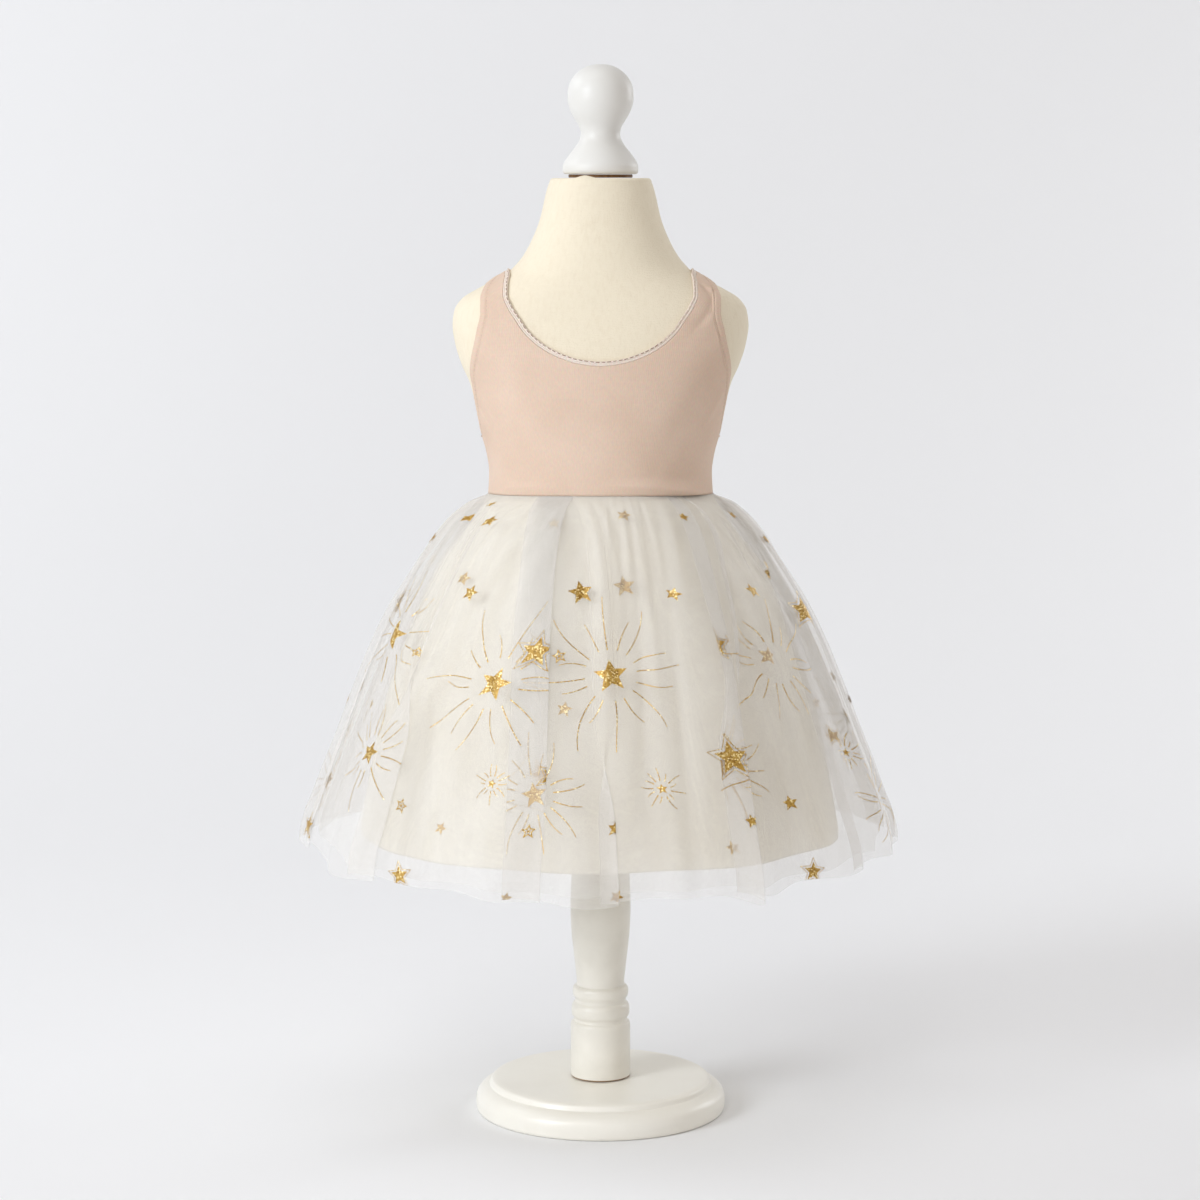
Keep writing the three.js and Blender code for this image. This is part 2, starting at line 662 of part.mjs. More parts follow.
const PIECES = [
  { name: 'stand_base', geometry: turned(BASE_PROFILE, BASE_COLUMNS), material: paint },
  { name: 'stand_post', geometry: turned(POST_PROFILE, POST_COLUMNS), material: paint, lift: SEAM_GAP },
  { name: 'form_torso', geometry: dressForm(), material: formCloth },
  { name: 'neck_dowel', geometry: neckDowel(), material: wood, lift: DOWEL_MIDDLE },
  { name: 'finial_knob', geometry: turned(FINIAL_PROFILE, KNOB_COLUMNS), material: whitePaint },
  { name: 'bodice_front', geometry: bodicePanel('front'), material: knit },
  { name: 'bodice_back', geometry: bodicePanel('back'), material: knit },
  { name: 'neck_binding', geometry: neckBinding(), material: knit },
  { name: 'armhole_band_right', geometry: armholeBand(-1), material: knit },
  { name: 'armhole_band_left', geometry: armholeBand(1), material: knit },
  { name: 'skirt_lining_front', geometry: skirtPanel(LINING, 'front'), material: satin },
  { name: 'skirt_lining_back', geometry: skirtPanel(LINING, 'back'), material: satin },
  { name: 'skirt_tulle_inner_front', geometry: skirtPanel(TULLE_INNER, 'front'), material: tulle },
  { name: 'skirt_tulle_inner_back', geometry: skirtPanel(TULLE_INNER, 'back'), material: tulle },
  { name: 'skirt_tulle_outer_front', geometry: skirtPanel(TULLE_OUTER, 'front'), material: tulle },
  { name: 'skirt_tulle_outer_back', geometry: skirtPanel(TULLE_OUTER, 'back'), material: tulle },
];

const dress = new THREE.Group();
for (const piece of PIECES) {
  const mesh = new THREE.Mesh(piece.geometry, piece.material);
  mesh.name = piece.name;
  mesh.position.z = piece.lift ?? 0;
  dress.add(mesh);
}

export default dress;
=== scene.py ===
"""A toddler's sleeveless dress with a star-printed tulle skirt, worn by a limbless dress form.

The sizes in the tables are millimetres. Meshes are made in metres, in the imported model's frame:
+Z up, the front towards -Y, and the turn of a point measured from the front towards +X.
"""

import bmesh
import bpy
import numpy as np
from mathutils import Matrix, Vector


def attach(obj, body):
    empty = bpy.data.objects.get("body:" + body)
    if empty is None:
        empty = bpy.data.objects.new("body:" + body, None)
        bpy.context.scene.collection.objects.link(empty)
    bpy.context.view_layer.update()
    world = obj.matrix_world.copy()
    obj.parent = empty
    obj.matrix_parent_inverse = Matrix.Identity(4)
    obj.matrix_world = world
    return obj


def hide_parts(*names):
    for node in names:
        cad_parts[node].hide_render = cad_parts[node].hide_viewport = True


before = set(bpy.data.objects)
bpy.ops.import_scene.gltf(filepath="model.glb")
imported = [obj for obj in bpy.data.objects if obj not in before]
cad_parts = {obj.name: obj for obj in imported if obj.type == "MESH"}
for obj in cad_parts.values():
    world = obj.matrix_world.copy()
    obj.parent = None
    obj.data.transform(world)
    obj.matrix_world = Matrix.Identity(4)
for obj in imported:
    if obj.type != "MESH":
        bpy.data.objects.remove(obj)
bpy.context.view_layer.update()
MM = 0.001


# The stand's base: a thick wooden disc turned on a lathe, with a bead and a small cove cut
# round its flat top. It is sprayed with cream satin paint, and the post is screwed to it from
# below.
BASE_PROFILE = [
    (0, 0), (92, 0), (94.6, 0.4), (96.2, 3), (96.5, 8), (95.6, 12.6), (93.2, 16.2), (90, 18.6),
    (87.2, 19.8), (86.1, 20.2), (85.6, 21.2), (85, 22.8), (84.2, 24), (82.6, 24.8), (79, 25.3),
    (70, 25.5), (30, 25.5), (0, 25.5),
]
TURNED_COLUMNS = 160
PAINT_CREAM = (0.91, 0.885, 0.81, 1)
PAINT_SHADOW = (0.885, 0.855, 0.775, 1)


def smooth_through(keys, values, at):
    """The value at each place on a smooth curve through the rows of a table.

    Between two rows it is the cubic with the rows' slopes, which are the harmonic mean of the
    slopes on both sides, and nothing at turning points and at the ends, so it never overshoots.
    """
    keys = np.asarray(keys, float)
    values = np.asarray(values, float)
    rise = np.diff(values) / np.diff(keys)
    slopes = np.zeros(len(keys))
    product = rise[:-1] * rise[1:]
    total = np.where(product > 0, rise[:-1] + rise[1:], 1)
    slopes[1:-1] = np.where(product > 0, 2 * product / total, 0)
    at = np.clip(at, keys[0], keys[-1])
    row = np.clip(np.searchsorted(keys, at, side="right") - 1, 0, len(keys) - 2)
    width = keys[row + 1] - keys[row]
    share = (at - keys[row]) / width
    start, end = slopes[row] * width, slopes[row + 1] * width
    low, high = values[row], values[row + 1]
    cubic = 2 * (low - high) + start + end
    square = 3 * (high - low) - 2 * start - end
    return ((cubic * share + square) * share + start) * share + low


def grid_mesh(points, uv=None, wrap=False):
    """A surface with a face for each cell of one grid of points (rows, columns, 3), or of many
    grids (grids, rows, columns, 3). Its faces point away from the Z axis.

    wrap joins the last column to the first. The uv grid, in metres on the cloth, then has one
    more column than the points.
    """
    grids = points.reshape(-1, *points.shape[-3:])
    index = np.arange(grids.size // 3).reshape(grids.shape[:3])
    if wrap:
        index = np.concatenate([index, index[:, :, :1]], axis=2)
    cells = lambda at: np.stack(
        [at[:, :-1, :-1], at[:, :-1, 1:], at[:, 1:, 1:], at[:, 1:, :-1]], axis=-1
    ).reshape(-1, 4)
    faces = cells(index)
    flat = grids.reshape(-1, 3)
    a, b, d = flat[faces[:, 0]], flat[faces[:, 1]], flat[faces[:, 3]]
    outward = (np.cross(b - a, d - a)[:, :2] * a[:, :2]).sum()
    order = [0, 1, 2, 3] if outward > 0 else [3, 2, 1, 0]
    mesh = bpy.data.meshes.new("grid")
    mesh.from_pydata((flat * MM).tolist(), [], faces[:, order].tolist())
    if uv is not None:
        layer = mesh.uv_layers.new(name="cloth")
        at = cells(np.arange(uv.size // 2).reshape(1, *uv.shape[:2]))[:, order]
        layer.data.foreach_set("uv", (uv.reshape(-1, 2)[at] * MM).ravel())
    return mesh


def add_piece(name, meshes, material, replaced=(), closed=False):
    """One object from one or more meshes, its doubled points merged and its faces smooth. The
    faces of a closed one are turned outwards."""
    joined = bmesh.new()
    for mesh in meshes:
        joined.from_mesh(mesh)
        bpy.data.meshes.remove(mesh)
    bmesh.ops.remove_doubles(joined, verts=joined.verts, dist=2e-6)
    if closed:
        bmesh.ops.recalc_face_normals(joined, faces=joined.faces)
    mesh = bpy.data.meshes.new(name)
    joined.to_mesh(mesh)
    joined.free()
    mesh.shade_smooth()
    mesh.materials.append(material)
    piece = bpy.data.objects.new(name, mesh)
    bpy.context.scene.collection.objects.link(piece)
    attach(piece, "root")
    if replaced:
        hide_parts(*replaced)
    return piece


def turned_mesh(profile):
    """A profile of (radius, height) rows, smoothed by its chord length, carried round the Z axis."""
    profile = np.array(profile, float)
    chord = np.concatenate([[0], np.cumsum(np.hypot(*np.diff(profile, axis=0).T))])
    steps = np.unique(np.concatenate([np.linspace(a, b, 6) for a, b in zip(chord, chord[1:])]))
    radius = smooth_through(chord, profile[:, 0], steps)[:, None]
    height = smooth_through(chord, profile[:, 1], steps)[:, None]
    turn = np.linspace(0, 2 * np.pi, TURNED_COLUMNS, endpoint=False)[None, :]
    points = np.stack([radius * np.sin(turn), -radius * np.cos(turn), height + 0 * turn], axis=-1)
    return grid_mesh(points, wrap=True)


def feed(look, node, inputs):
    """Sets a node's inputs: each is a value, or the output that is linked to it."""
    for name, value in inputs.items():
        if isinstance(value, bpy.types.NodeSocket):
            look.node_tree.links.new(value, node.inputs[name])
        else:
            node.inputs[name].default_value = value


def add_node(look, kind, inputs, **settings):
    """A new shader node of a kind, with its settings and inputs."""
    node = look.node_tree.nodes.new("ShaderNode" + kind)
    for name, value in settings.items():
        setattr(node, name, value)
    feed(look, node, inputs)
    return node


def shade(look, inputs):
    """Sets inputs of a material's Principled shader."""
    feed(look, look.node_tree.nodes["Principled BSDF"], inputs)
    return look


def start_material(name, colour, roughness):
    """A material with one Principled shader, ready for its patterns."""
    look = bpy.data.materials.new(name)
    look.use_nodes = True
    return shade(look, {"Base Color": colour, "Roughness": roughness})


def noise(look, source, scale, detail, stretch=(1, 1, 1)):
    """A noise pattern at a scale per metre on object or cloth coordinates, stretched by axis."""
    place = add_node(look, "TexCoord", {}).outputs[source]
    mapped = add_node(look, "Mapping", {"Vector": place, "Scale": stretch}).outputs["Vector"]
    inputs = {"Vector": mapped, "Scale": scale, "Detail": detail}
    sides = "2D" if source == "UV" else "3D"
    return add_node(look, "TexNoise", inputs, noise_dimensions=sides).outputs["Fac"]


def ramp(look, factor, stops):
    """Colours blended by a factor: each stop is its place and its colour."""
    blend = add_node(look, "ValToRGB", {"Fac": factor})
    while len(blend.color_ramp.elements) < len(stops):
        blend.color_ramp.elements.new(0.5)
    for element, (place, colour) in zip(blend.color_ramp.elements, stops):
        element.position = place
        element.color = colour
    return blend.outputs["Color"]


def mixed(look, factor, first, second, blend="MIX"):
    """Two colours mixed by a factor."""
    inputs = {"Factor": factor, "A": first, "B": second}
    return add_node(look, "Mix", inputs, data_type="RGBA", blend_type=blend).outputs["Result"]


def scaled(look, value, to, start=(0, 1)):
    """A value carried over from its own span to another."""
    inputs = {"From Min": start[0], "From Max": start[1], "To Min": to[0], "To Max": to[1]}
    return add_node(look, "MapRange", {"Value": value, **inputs}).outputs["Result"]


def bump(look, height, strength, distance, below=None):
    """Relief of a height pattern, in metres, laid over the relief below it."""
    inputs = {"Height": height, "Strength": strength, "Distance": distance}
    if below is not None:
        inputs["Normal"] = below
    return add_node(look, "Bump", inputs).outputs["Normal"]


def paint_material(name, colour, shadow, roughness, coat=0.25):
    """Sprayed paint on turned wood: a faint mottle, fine orange peel and soft lathe rings."""
    look = start_material(name, colour, roughness)
    mottle = noise(look, "Object", 28, 4)
    lathe = bump(look, noise(look, "Object", 60, 2, (0.02, 0.02, 6)), 0.25, 0.0004)
    return shade(look, {
        "Base Color": ramp(look, mottle, [(0.3, shadow), (0.62, colour)]),
        "Roughness": scaled(look, mottle, (roughness - 0.06, roughness + 0.08)),
        "Normal": bump(look, noise(look, "Object", 900, 2), 0.12, 0.0003, lathe),
        "Coat Weight": coat,
        "Coat Roughness": 0.3,
    })


def add_turned(name, profile, look, node):
    """A turned piece in place of one node."""
    return add_piece(name, [turned_mesh(profile)], look, [node])


cream_paint = paint_material("cream_stand_paint", PAINT_CREAM, PAINT_SHADOW, 0.36)
add_turned("base_disc", BASE_PROFILE, cream_paint, "stand_base")


# The post: a turned wooden column with two beads above a plain foot, in the same cream paint,
# coloured darker than on the base as painted shade from the skirt above it. A bolt holds it to
# the base, and the form is pushed onto its upper end. A thin dark brown line is painted round its
# foot, where it stands on the base: painted shade at the joint.
POST_PROFILE = [
    (0, 25.8), (21.8, 25.8), (22.7, 26.1), (23, 27.2), (23, 47), (23, 66), (22.8, 67.6), (22, 69),
    (20.6, 69.9), (20.4, 71.2), (20.7, 72.4), (21.8, 73.8), (22.4, 76), (22.4, 79.4), (21.9, 81.8),
    (20.9, 83.6), (19.6, 84.8), (19.5, 86.2), (19.8, 87.6), (20.9, 89.2), (21.5, 91.4),
    (21.5, 94), (20.9, 96), (19.6, 97.3), (18.4, 97.9), (18.3, 99.5), (19.2, 109.3),
    (20.9, 124.8), (22.6, 141.3), (23.2, 158.3), (22.4, 184.3), (20, 230.3), (20, 395.7), (0, 395.7),
]
# Painted shade at the joint: a thin dark brown band round the post's foot, where it stands on the base.
FOOT_SHADOW_HEIGHT = 26.6
FOOT_SHADOW_BLEND = 0.5
FOOT_SHADOW_BROWN = (0.30, 0.17, 0.07, 1)
# Painted shade: the post's cream is darker than the base's same paint, for the skirt's shade over the
# post.
POST_CREAM_PAINTED_SHADE = (0.8, 0.77, 0.69, 1)


def painted_foot_shadow(look, height):
    """Painted shade below a height, where the post meets the base: the paint's colour gives way to dark
    brown by the Z coordinate.
    """
    place = add_node(look, "TexCoord", {}).outputs["Object"]
    z = add_node(look, "SeparateXYZ", {"Vector": place}).outputs["Z"]
    # Painted shade: dark brown below the foot line, the paint's colour above it.
    edge = scaled(look, z, (0, 1), (height * MM, (height + FOOT_SHADOW_BLEND) * MM))
    paint = look.node_tree.nodes["Principled BSDF"].inputs["Base Color"].links[0].from_socket
    return shade(look, {"Base Color": mixed(look, edge, FOOT_SHADOW_BROWN, paint)})


# The post's paint is darker than the base's as painted shade from the skirt above it.
post_paint_painted_shade = paint_material("cream_post_paint_painted_shade", POST_CREAM_PAINTED_SHADE, PAINT_SHADOW, 0.34)
# Paints the shade at the post's foot, where it meets the base.
painted_foot_shadow(post_paint_painted_shade, FOOT_SHADOW_HEIGHT)
add_turned("turned_post", POST_PROFILE, post_paint_painted_shade, "stand_post")


# The dress form: a padded child's torso without arms or head, papier mache under cotton jersey
# wadding, covered in a close cream cloth that is pulled tight over the shoulders and turned in
# round the top of the neck, where it puckers a little.
FORM = {
    "height": [396, 403, 430, 478, 496, 509, 522, 537, 550, 563, 577, 592,
               606, 617, 626, 633, 640.5, 645, 650, 657, 668, 684, 712, 716],
    "side": [79, 87, 89, 83, 82.1, 83.8, 87.2, 91.8, 95.2, 98.8, 105, 109.6,
             111.6, 110.2, 104.4, 93.2, 78.6, 70.4, 65, 59, 52.6, 46, 38.8, 36.4],
    "front": [61, 69, 73, 73, 72.5, 72.5, 72.5, 72.2, 71.5, 70.2, 68, 65,
              61.5, 58.5, 56, 54.1, 52, 50.7, 49.3, 47.8, 45.4, 41.8, 37.4, 35.2],
    "back": [59, 66, 68, 64.5, 63.5, 64.2, 65.2, 66.5, 67.2, 67.8, 68.2, 68,
             67, 65, 62.4, 59.6, 56, 53.5, 51, 48.6, 46, 42.6, 37.6, 35.4],
}
SECTION_FULLNESS = 0.02
FORM_COLUMNS = 200
FORM_ROWS = 200
RIM_ROUNDING = 3.2
PUCKER = {"turn": -0.33, "spread": 0.17, "rise": 2.0}
FORM_CREAM = (0.87, 0.785, 0.62, 1)
FORM_THREAD = (0.82, 0.725, 0.555, 1)


def form_point(turn, height):
    """A point of the form: side times the sine of the turn, depth times its cosine, made a
    little fuller between the front and the sides. The depth differs before and behind."""
    columns = (FORM[name] for name in ("side", "front", "back"))
    side, front, back = (smooth_through(FORM["height"], column, height) for column in columns)
    depth = np.where(np.cos(turn) > 0, front, back)
    full = 1 + SECTION_FULLNESS * np.sin(2 * turn) ** 2
    return np.stack([side * full * np.sin(turn), -depth * full * np.cos(turn), height + 0 * turn], -1)


def dress_form_mesh():
    """The form's surface with both ends closed: the rings shrink to the axis under the hips, and
    over the neck they shrink along a quarter circle, the turned rim, and then to the axis."""
    shrunk = lambda ring, share: ring * np.concatenate([share, share, 1 + 0 * share], axis=-1)
    turn = np.linspace(0, 2 * np.pi, FORM_COLUMNS, endpoint=False)[None, :]
    heights = np.linspace(FORM["height"][0], FORM["height"][-1] - RIM_ROUNDING, FORM_ROWS)[:, None]
    body = form_point(turn + 0 * heights, heights + 0 * turn)
    arc = np.linspace(0, np.pi / 2, 9)[1:, None, None]
    rim_ring = body[-1][None]
    reach = np.hypot(rim_ring[..., 0], rim_ring[..., 1])[..., None]
    inward = 1 - RIM_ROUNDING * (1 - np.cos(arc)) / reach
    rim = shrunk(rim_ring, inward)
    rim[..., 2] = rim_ring[..., 2] + RIM_ROUNDING * np.sin(arc[..., 0])
    pucker = np.exp(-((((turn + np.pi) % (2 * np.pi) - np.pi - PUCKER["turn"]) / PUCKER["spread"]) ** 2))
    rim[..., 2] += PUCKER["rise"] * pucker * np.sin(arc[..., 0]) ** 2
    shares = np.array([0.93, 0.85, 0.6, 0.3, 0])[:, None, None]
    top = shrunk(rim[-1][None], shares)
    top[..., 2] = rim_ring[..., 2] + RIM_ROUNDING - 0.3
    under = shrunk(body[0][None], shares)[::-1]
    return grid_mesh(np.concatenate([under, body, rim, top]), wrap=True)


def woven_material(name, colour, thread, per_metre, depth):
    """A close plain weave: two crossing sets of threads on the cloth, a soft mottle and sheen."""
    look = start_material(name, colour, 0.85)
    slub = noise(look, "Object", 420, 3, (1, 1, 0.25))
    grain = ramp(look, slub, [(0.3, thread), (0.55, colour), (1, colour)])
    weft = bump(look, noise(look, "Object", per_metre, 2, (1, 1, 0.12)), 0.5, depth)
    warp = noise(look, "Object", per_metre, 2, (0.15, 0.15, 1))
    return shade(look, {
        "Base Color": mixed(look, noise(look, "Object", 16, 4), colour, grain),
        "Normal": bump(look, warp, 0.5, depth, weft),
        "Sheen Weight": 0.06,
        "Sheen Roughness": 0.5,
    })


form_cloth = woven_material("form_cover_cloth", FORM_CREAM, FORM_THREAD, 1500, 0.0005)
add_piece("form_torso_cover", [dress_form_mesh()], form_cloth, ["form_torso"])


# The neck dowel and the knob: a short brown dowel stands out of the neck, and a turned wooden
# knob with a ball, a waist and a rounded foot is screwed down on it, in white semi-gloss paint.
DOWEL_PROFILE = [(0, 716.3), (23.6, 716.3), (24, 716.7), (24, 718.3), (23.6, 718.7), (0, 718.7)]
KNOB_PROFILE = [
    (0, 719), (25.4, 719), (27, 719.2), (28, 720.2), (28.4, 722.2), (28.3, 724.6), (27.4, 727.4),
    (25.4, 730.8), (22.4, 734.8), (19.2, 738.8), (16.6, 742.6), (15.1, 746.4), (14.8, 749.6),
    (15.7, 753.6), (18.2, 758.2), (21.2, 763), (23.6, 768.6), (24.7, 774.6), (24.6, 780.2),
    (23.2, 786), (20.2, 791.2), (15.4, 795.8), (9.4, 799), (3.4, 800.3), (0, 800.4),
]
KNOB_WHITE = (0.80, 0.79, 0.755, 1)
KNOB_SHADOW = (0.77, 0.755, 0.715, 1)
DOWEL_BROWN = (0.23, 0.115, 0.04, 1)
DOWEL_DARK = (0.12, 0.055, 0.02, 1)


def bare_wood_material():
    """Brown wood with a darker grain drawn out along the dowel's length."""
    look = start_material("bare_dowel_wood", DOWEL_BROWN, 0.6)
    grain = noise(look, "Object", 300, 5, (1, 1, 0.1))
    return shade(look, {
        "Base Color": ramp(look, grain, [(0.3, DOWEL_DARK), (0.65, DOWEL_BROWN)]),
        "Normal": bump(look, grain, 0.4, 0.0003),
    })


add_turned("neck_dowel_turned", DOWEL_PROFILE, bare_wood_material(), "neck_dowel")
white_paint = paint_material("white_knob_paint", KNOB_WHITE, KNOB_SHADOW, 0.42, 0.1)
add_turned("knob_turned", KNOB_PROFILE, white_paint, "finial_knob")


# The bodice: a front and a back cut from blush jersey, sewn together at the sides and on the
# shoulders, and pulled over the form, which stretches it smooth. Only soft drag lines show: on
# the left strap, under that arm, and a low roll above the waist seam.
FORM_GAP = 1.15
KNIT_THICKNESS = 1.2
SEAM_GAP = 0.03
EDGE_GAP = 0.06
NECK_BINDING_WIDTH = 3.6
ARMHOLE_HEM_WIDTH = 7
WAIST_HEIGHT = 477.5
WAIST_FRONT_RISE = 6
HALF_SEAM_TURN = 0.0038
NECKLINE = {
    "turn": [0, 8, 15.5, 22, 27.5, 33, 40, 52, 70, 90, 108, 122, 132, 140, 148, 156, 164, 172, 180],
    "height": [582, 583.6, 588, 594.6, 603.5, 616, 627, 637.3, 644.6, 647.3, 645.5, 641, 635, 628,
               622.5, 619, 617, 616.2, 616],
}
ARMHOLE = {
    "height": [529, 532, 541, 553, 566, 579, 592, 605, 617, 627.4, 635.6, 639.8],
    "front": [0, 8, 12.3, 14.8, 18.8, 26.5, 33, 37, 38, 32, 17, 0],
    "back": [0, 7, 11, 13.5, 17.5, 23.5, 28.5, 31.5, 32, 28, 15.5, 0],
}
ARMHOLE_MIDDLE = np.array([100, 0, 588])
NECK_MIDDLE = np.array([0, 0, 760])
SIDE_ROWS = 3
FRONT_ROWS = 7
PANEL_ROWS = 16
ROW_STEPS = 8
HALF_COLUMNS = 60
GIRTH_RADIUS = 88
# Soft creases: the turn and height in degrees and millimetres where each starts and ends, how
# far it stands out, and half its width.
CREASES = [
    ((0, 490), (30, 492), 0.9, 3.4), ((12, 491.5), (62, 482), 3.2, 3.8),
    ((24, 501.5), (62, 491), -1.1, 4.6), ((62, 590), (28, 500), -0.9, 11),
    ((-58, 487), (-20, 489), 0.9, 3.0), ((60, 640), (50, 592), 1.0, 3.4),
    ((60, 641), (37, 604), -1.1, 3.0), ((56, 612), (62, 570), 1.08, 2.0),
    ((66, 560), (52, 528), 0.9, 3.0), ((-52, 632), (-58, 600), 0.63, 2.4),
    ((-70, 552), (-58, 532), -0.63, 2.6), ((142, 610), (128, 560), 1.08, 3.4),
    ((-139, 604), (-124, 548), 0.9, 3.0), ((120, 489), (172, 487), 1.62, 3.6),
    ((-165, 488), (-118, 490), 1.26, 3.2), ((172, 520), (150, 507), 0.9, 4.0),
]
DEEPEST_CREASE = -1.0
MM_PER_DEGREE = 1.45
KNIT_BLUSH = (0.775, 0.585, 0.455, 1)
KNIT_LIGHT = (0.82, 0.635, 0.505, 1)


def waist_height(turn):
    """The waist seam: its height, raised by a soft curve towards the middle of the front."""
    return WAIST_HEIGHT + WAIST_FRONT_RISE * ((1 + np.cos(turn)) / 2) ** 2


def form_frame(turn, height):
    """A point of the form, its slopes along the turn and the height, and its outward normal."""
    step = 0.005
    along = (form_point(turn + step, height) - form_point(turn - step, height)) / (2 * step)
    rise = 0.2
    up = (form_point(turn, height + rise) - form_point(turn, height - rise)) / (2 * rise)
    normal = np.cross(along, up)
    normal /= np.linalg.norm(normal, axis=-1, keepdims=True)
    return form_point(turn, height), along, up, normal


def neckline_edge(t):
    """The neckline's turn and height: 0 is the middle of the front, 0.5 that of the back."""
    half = np.where(t > 0.5, t - 1, t)
    rows = np.arange(len(NECKLINE["turn"]))
    turn = np.interp(np.abs(half) * 2 * rows[-1], rows, NECKLINE["turn"])
    height = smooth_through(NECKLINE["turn"], NECKLINE["height"], turn)
    return np.radians(np.sign(half) * turn), height


def armhole_edge(t):
    """The left armhole's turn and height: 0 is the underarm and 0.5 the shoulder. It is a closed
    curve through the table's rows, first in front of the side seam and then behind it."""
    height = np.array(ARMHOLE["height"] + ARMHOLE["height"][-2:0:-1], float)
    turn = 90 + np.array([-f for f in ARMHOLE["front"]] + ARMHOLE["back"][-2:0:-1], float)
    spots = np.stack([turn, height], axis=-1)
    place = (t % 1) * len(spots)
    row = np.floor(place).astype(int) % len(spots)
    share = (place - np.floor(place))[..., None]
    a, b, c, d = (spots[(row + step) % len(spots)] for step in (-1, 0, 1, 2))
    curve = b + share * (c - a) / 2 + share**2 * (2 * a - 5 * b + 4 * c - d) / 2
    curve += share**3 * (3 * (b - c) + d - a) / 2
    return np.radians(curve[..., 0]), curve[..., 1]


def beside_edge(edge, t, distance, middle):
    """The spot on the form that lies a distance aside from an edge, away from its opening."""
    turn, height = edge(t)
    along = form_point(*edge(t + 0.002)) - form_point(*edge(t - 0.002))
    point, by_turn, by_height, normal = form_frame(turn, height)
    aside = np.cross(normal, along)
    aside /= np.linalg.norm(aside, axis=-1, keepdims=True)
    away = np.sign((aside * (point - middle)).sum(axis=-1, keepdims=True))
    move = aside * away * np.asarray(distance)[..., None]
    uu, uv, vv = (by_turn**2).sum(-1), (by_turn * by_height).sum(-1), (by_height**2).sum(-1)
    mu, mv = (by_turn * move).sum(-1), (by_height * move).sum(-1)
    size = uu * vv - uv**2
    return turn + (mu * vv - mv * uv) / size, height + (mv * uu - mu * uv) / size


def crease_rise(turn, height):
    """All the soft creases together: each is a bell across its line, fading out at both ends.
    None is so deep that the knit meets the form."""
    round_form = (np.degrees(turn) + 180) % 360 - 180
    rise = np.zeros(np.shape(turn))
    for start, end, stands_out, width in CREASES:
        run = (np.array(end, float) - start) * (MM_PER_DEGREE, 1)
        x = (round_form - start[0]) * MM_PER_DEGREE
        y = height - start[1]
        along = (x * run[0] + y * run[1]) / (run @ run)
        across = (x * run[1] - y * run[0]) / np.sqrt(run @ run)
        fade = np.exp(-((2 * along - 1) ** 4) * 1.2)
        rise += stands_out * fade * np.exp(-((across / width) ** 2))
    return np.maximum(rise, DEEPEST_CREASE)


def panel_ends(panel, row):
    """For each row of a panel's left half: the spot at its middle or neckline, and the one at
    its side seam or armhole. Rows run up the middle and the side first, then along the edges."""
    front = panel == "front"
    middle = 0 if front else np.pi
    neck_share = np.maximum(0, row - FRONT_ROWS) / (PANEL_ROWS - FRONT_ROWS) / 4
    arm_share = np.maximum(0, row - SIDE_ROWS) / (PANEL_ROWS - SIDE_ROWS) / 2
    neck_t = neck_share if front else 0.5 - neck_share
    arm_t = arm_share if front else 1 - arm_share
    shift = np.ones(len(row))
    neck = beside_edge(neckline_edge, neck_t, shift * (NECK_BINDING_WIDTH + EDGE_GAP), NECK_MIDDLE)
    arm = beside_edge(armhole_edge, arm_t, shift * (ARMHOLE_HEM_WIDTH + EDGE_GAP), ARMHOLE_MIDDLE)
    seam = np.pi / 2 + (-HALF_SEAM_TURN if front else HALF_SEAM_TURN)
    waist, side_waist = waist_height(middle) + SEAM_GAP, waist_height(np.pi / 2) + SEAM_GAP
    low, side = row < FRONT_ROWS, row < SIDE_ROWS
    inner_turn = np.where(low, middle, neck[0])
    inner_height = np.where(low, waist + (neck[1] - waist) * row / FRONT_ROWS, neck[1])
    outer_turn = np.where(side, seam, arm[0])
    outer_height = np.where(side, side_waist + (arm[1] - side_waist) * row / SIDE_ROWS, arm[1])
    keep = np.minimum if front else np.maximum
    return (keep(inner_turn, seam), inner_height), (keep(outer_turn, seam), outer_height)


def bodice_half(panel, side):
    """One half of a panel as a grid between its two ends, laid off the form by the wall."""
    row = np.linspace(0, PANEL_ROWS, PANEL_ROWS * ROW_STEPS + 1)
    inner, outer = panel_ends(panel, row)
    share = np.linspace(0, 1, HALF_COLUMNS + 1)[None, :]
    turn = inner[0][:, None] + (outer[0] - inner[0])[:, None] * share
    height = inner[1][:, None] + (outer[1] - inner[1])[:, None] * share
    lowest = np.maximum(0, 1 - row[:, None] / 2)
    height = height + lowest * (waist_height(turn) + SEAM_GAP - height[:1])
    turn = side * turn
    point, _, _, normal = form_frame(turn, height)
    rise = FORM_GAP + KNIT_THICKNESS + crease_rise(turn, height)
    points = point + normal * rise[..., None]
    return grid_mesh(points, np.stack([turn * GIRTH_RADIUS, height], axis=-1))


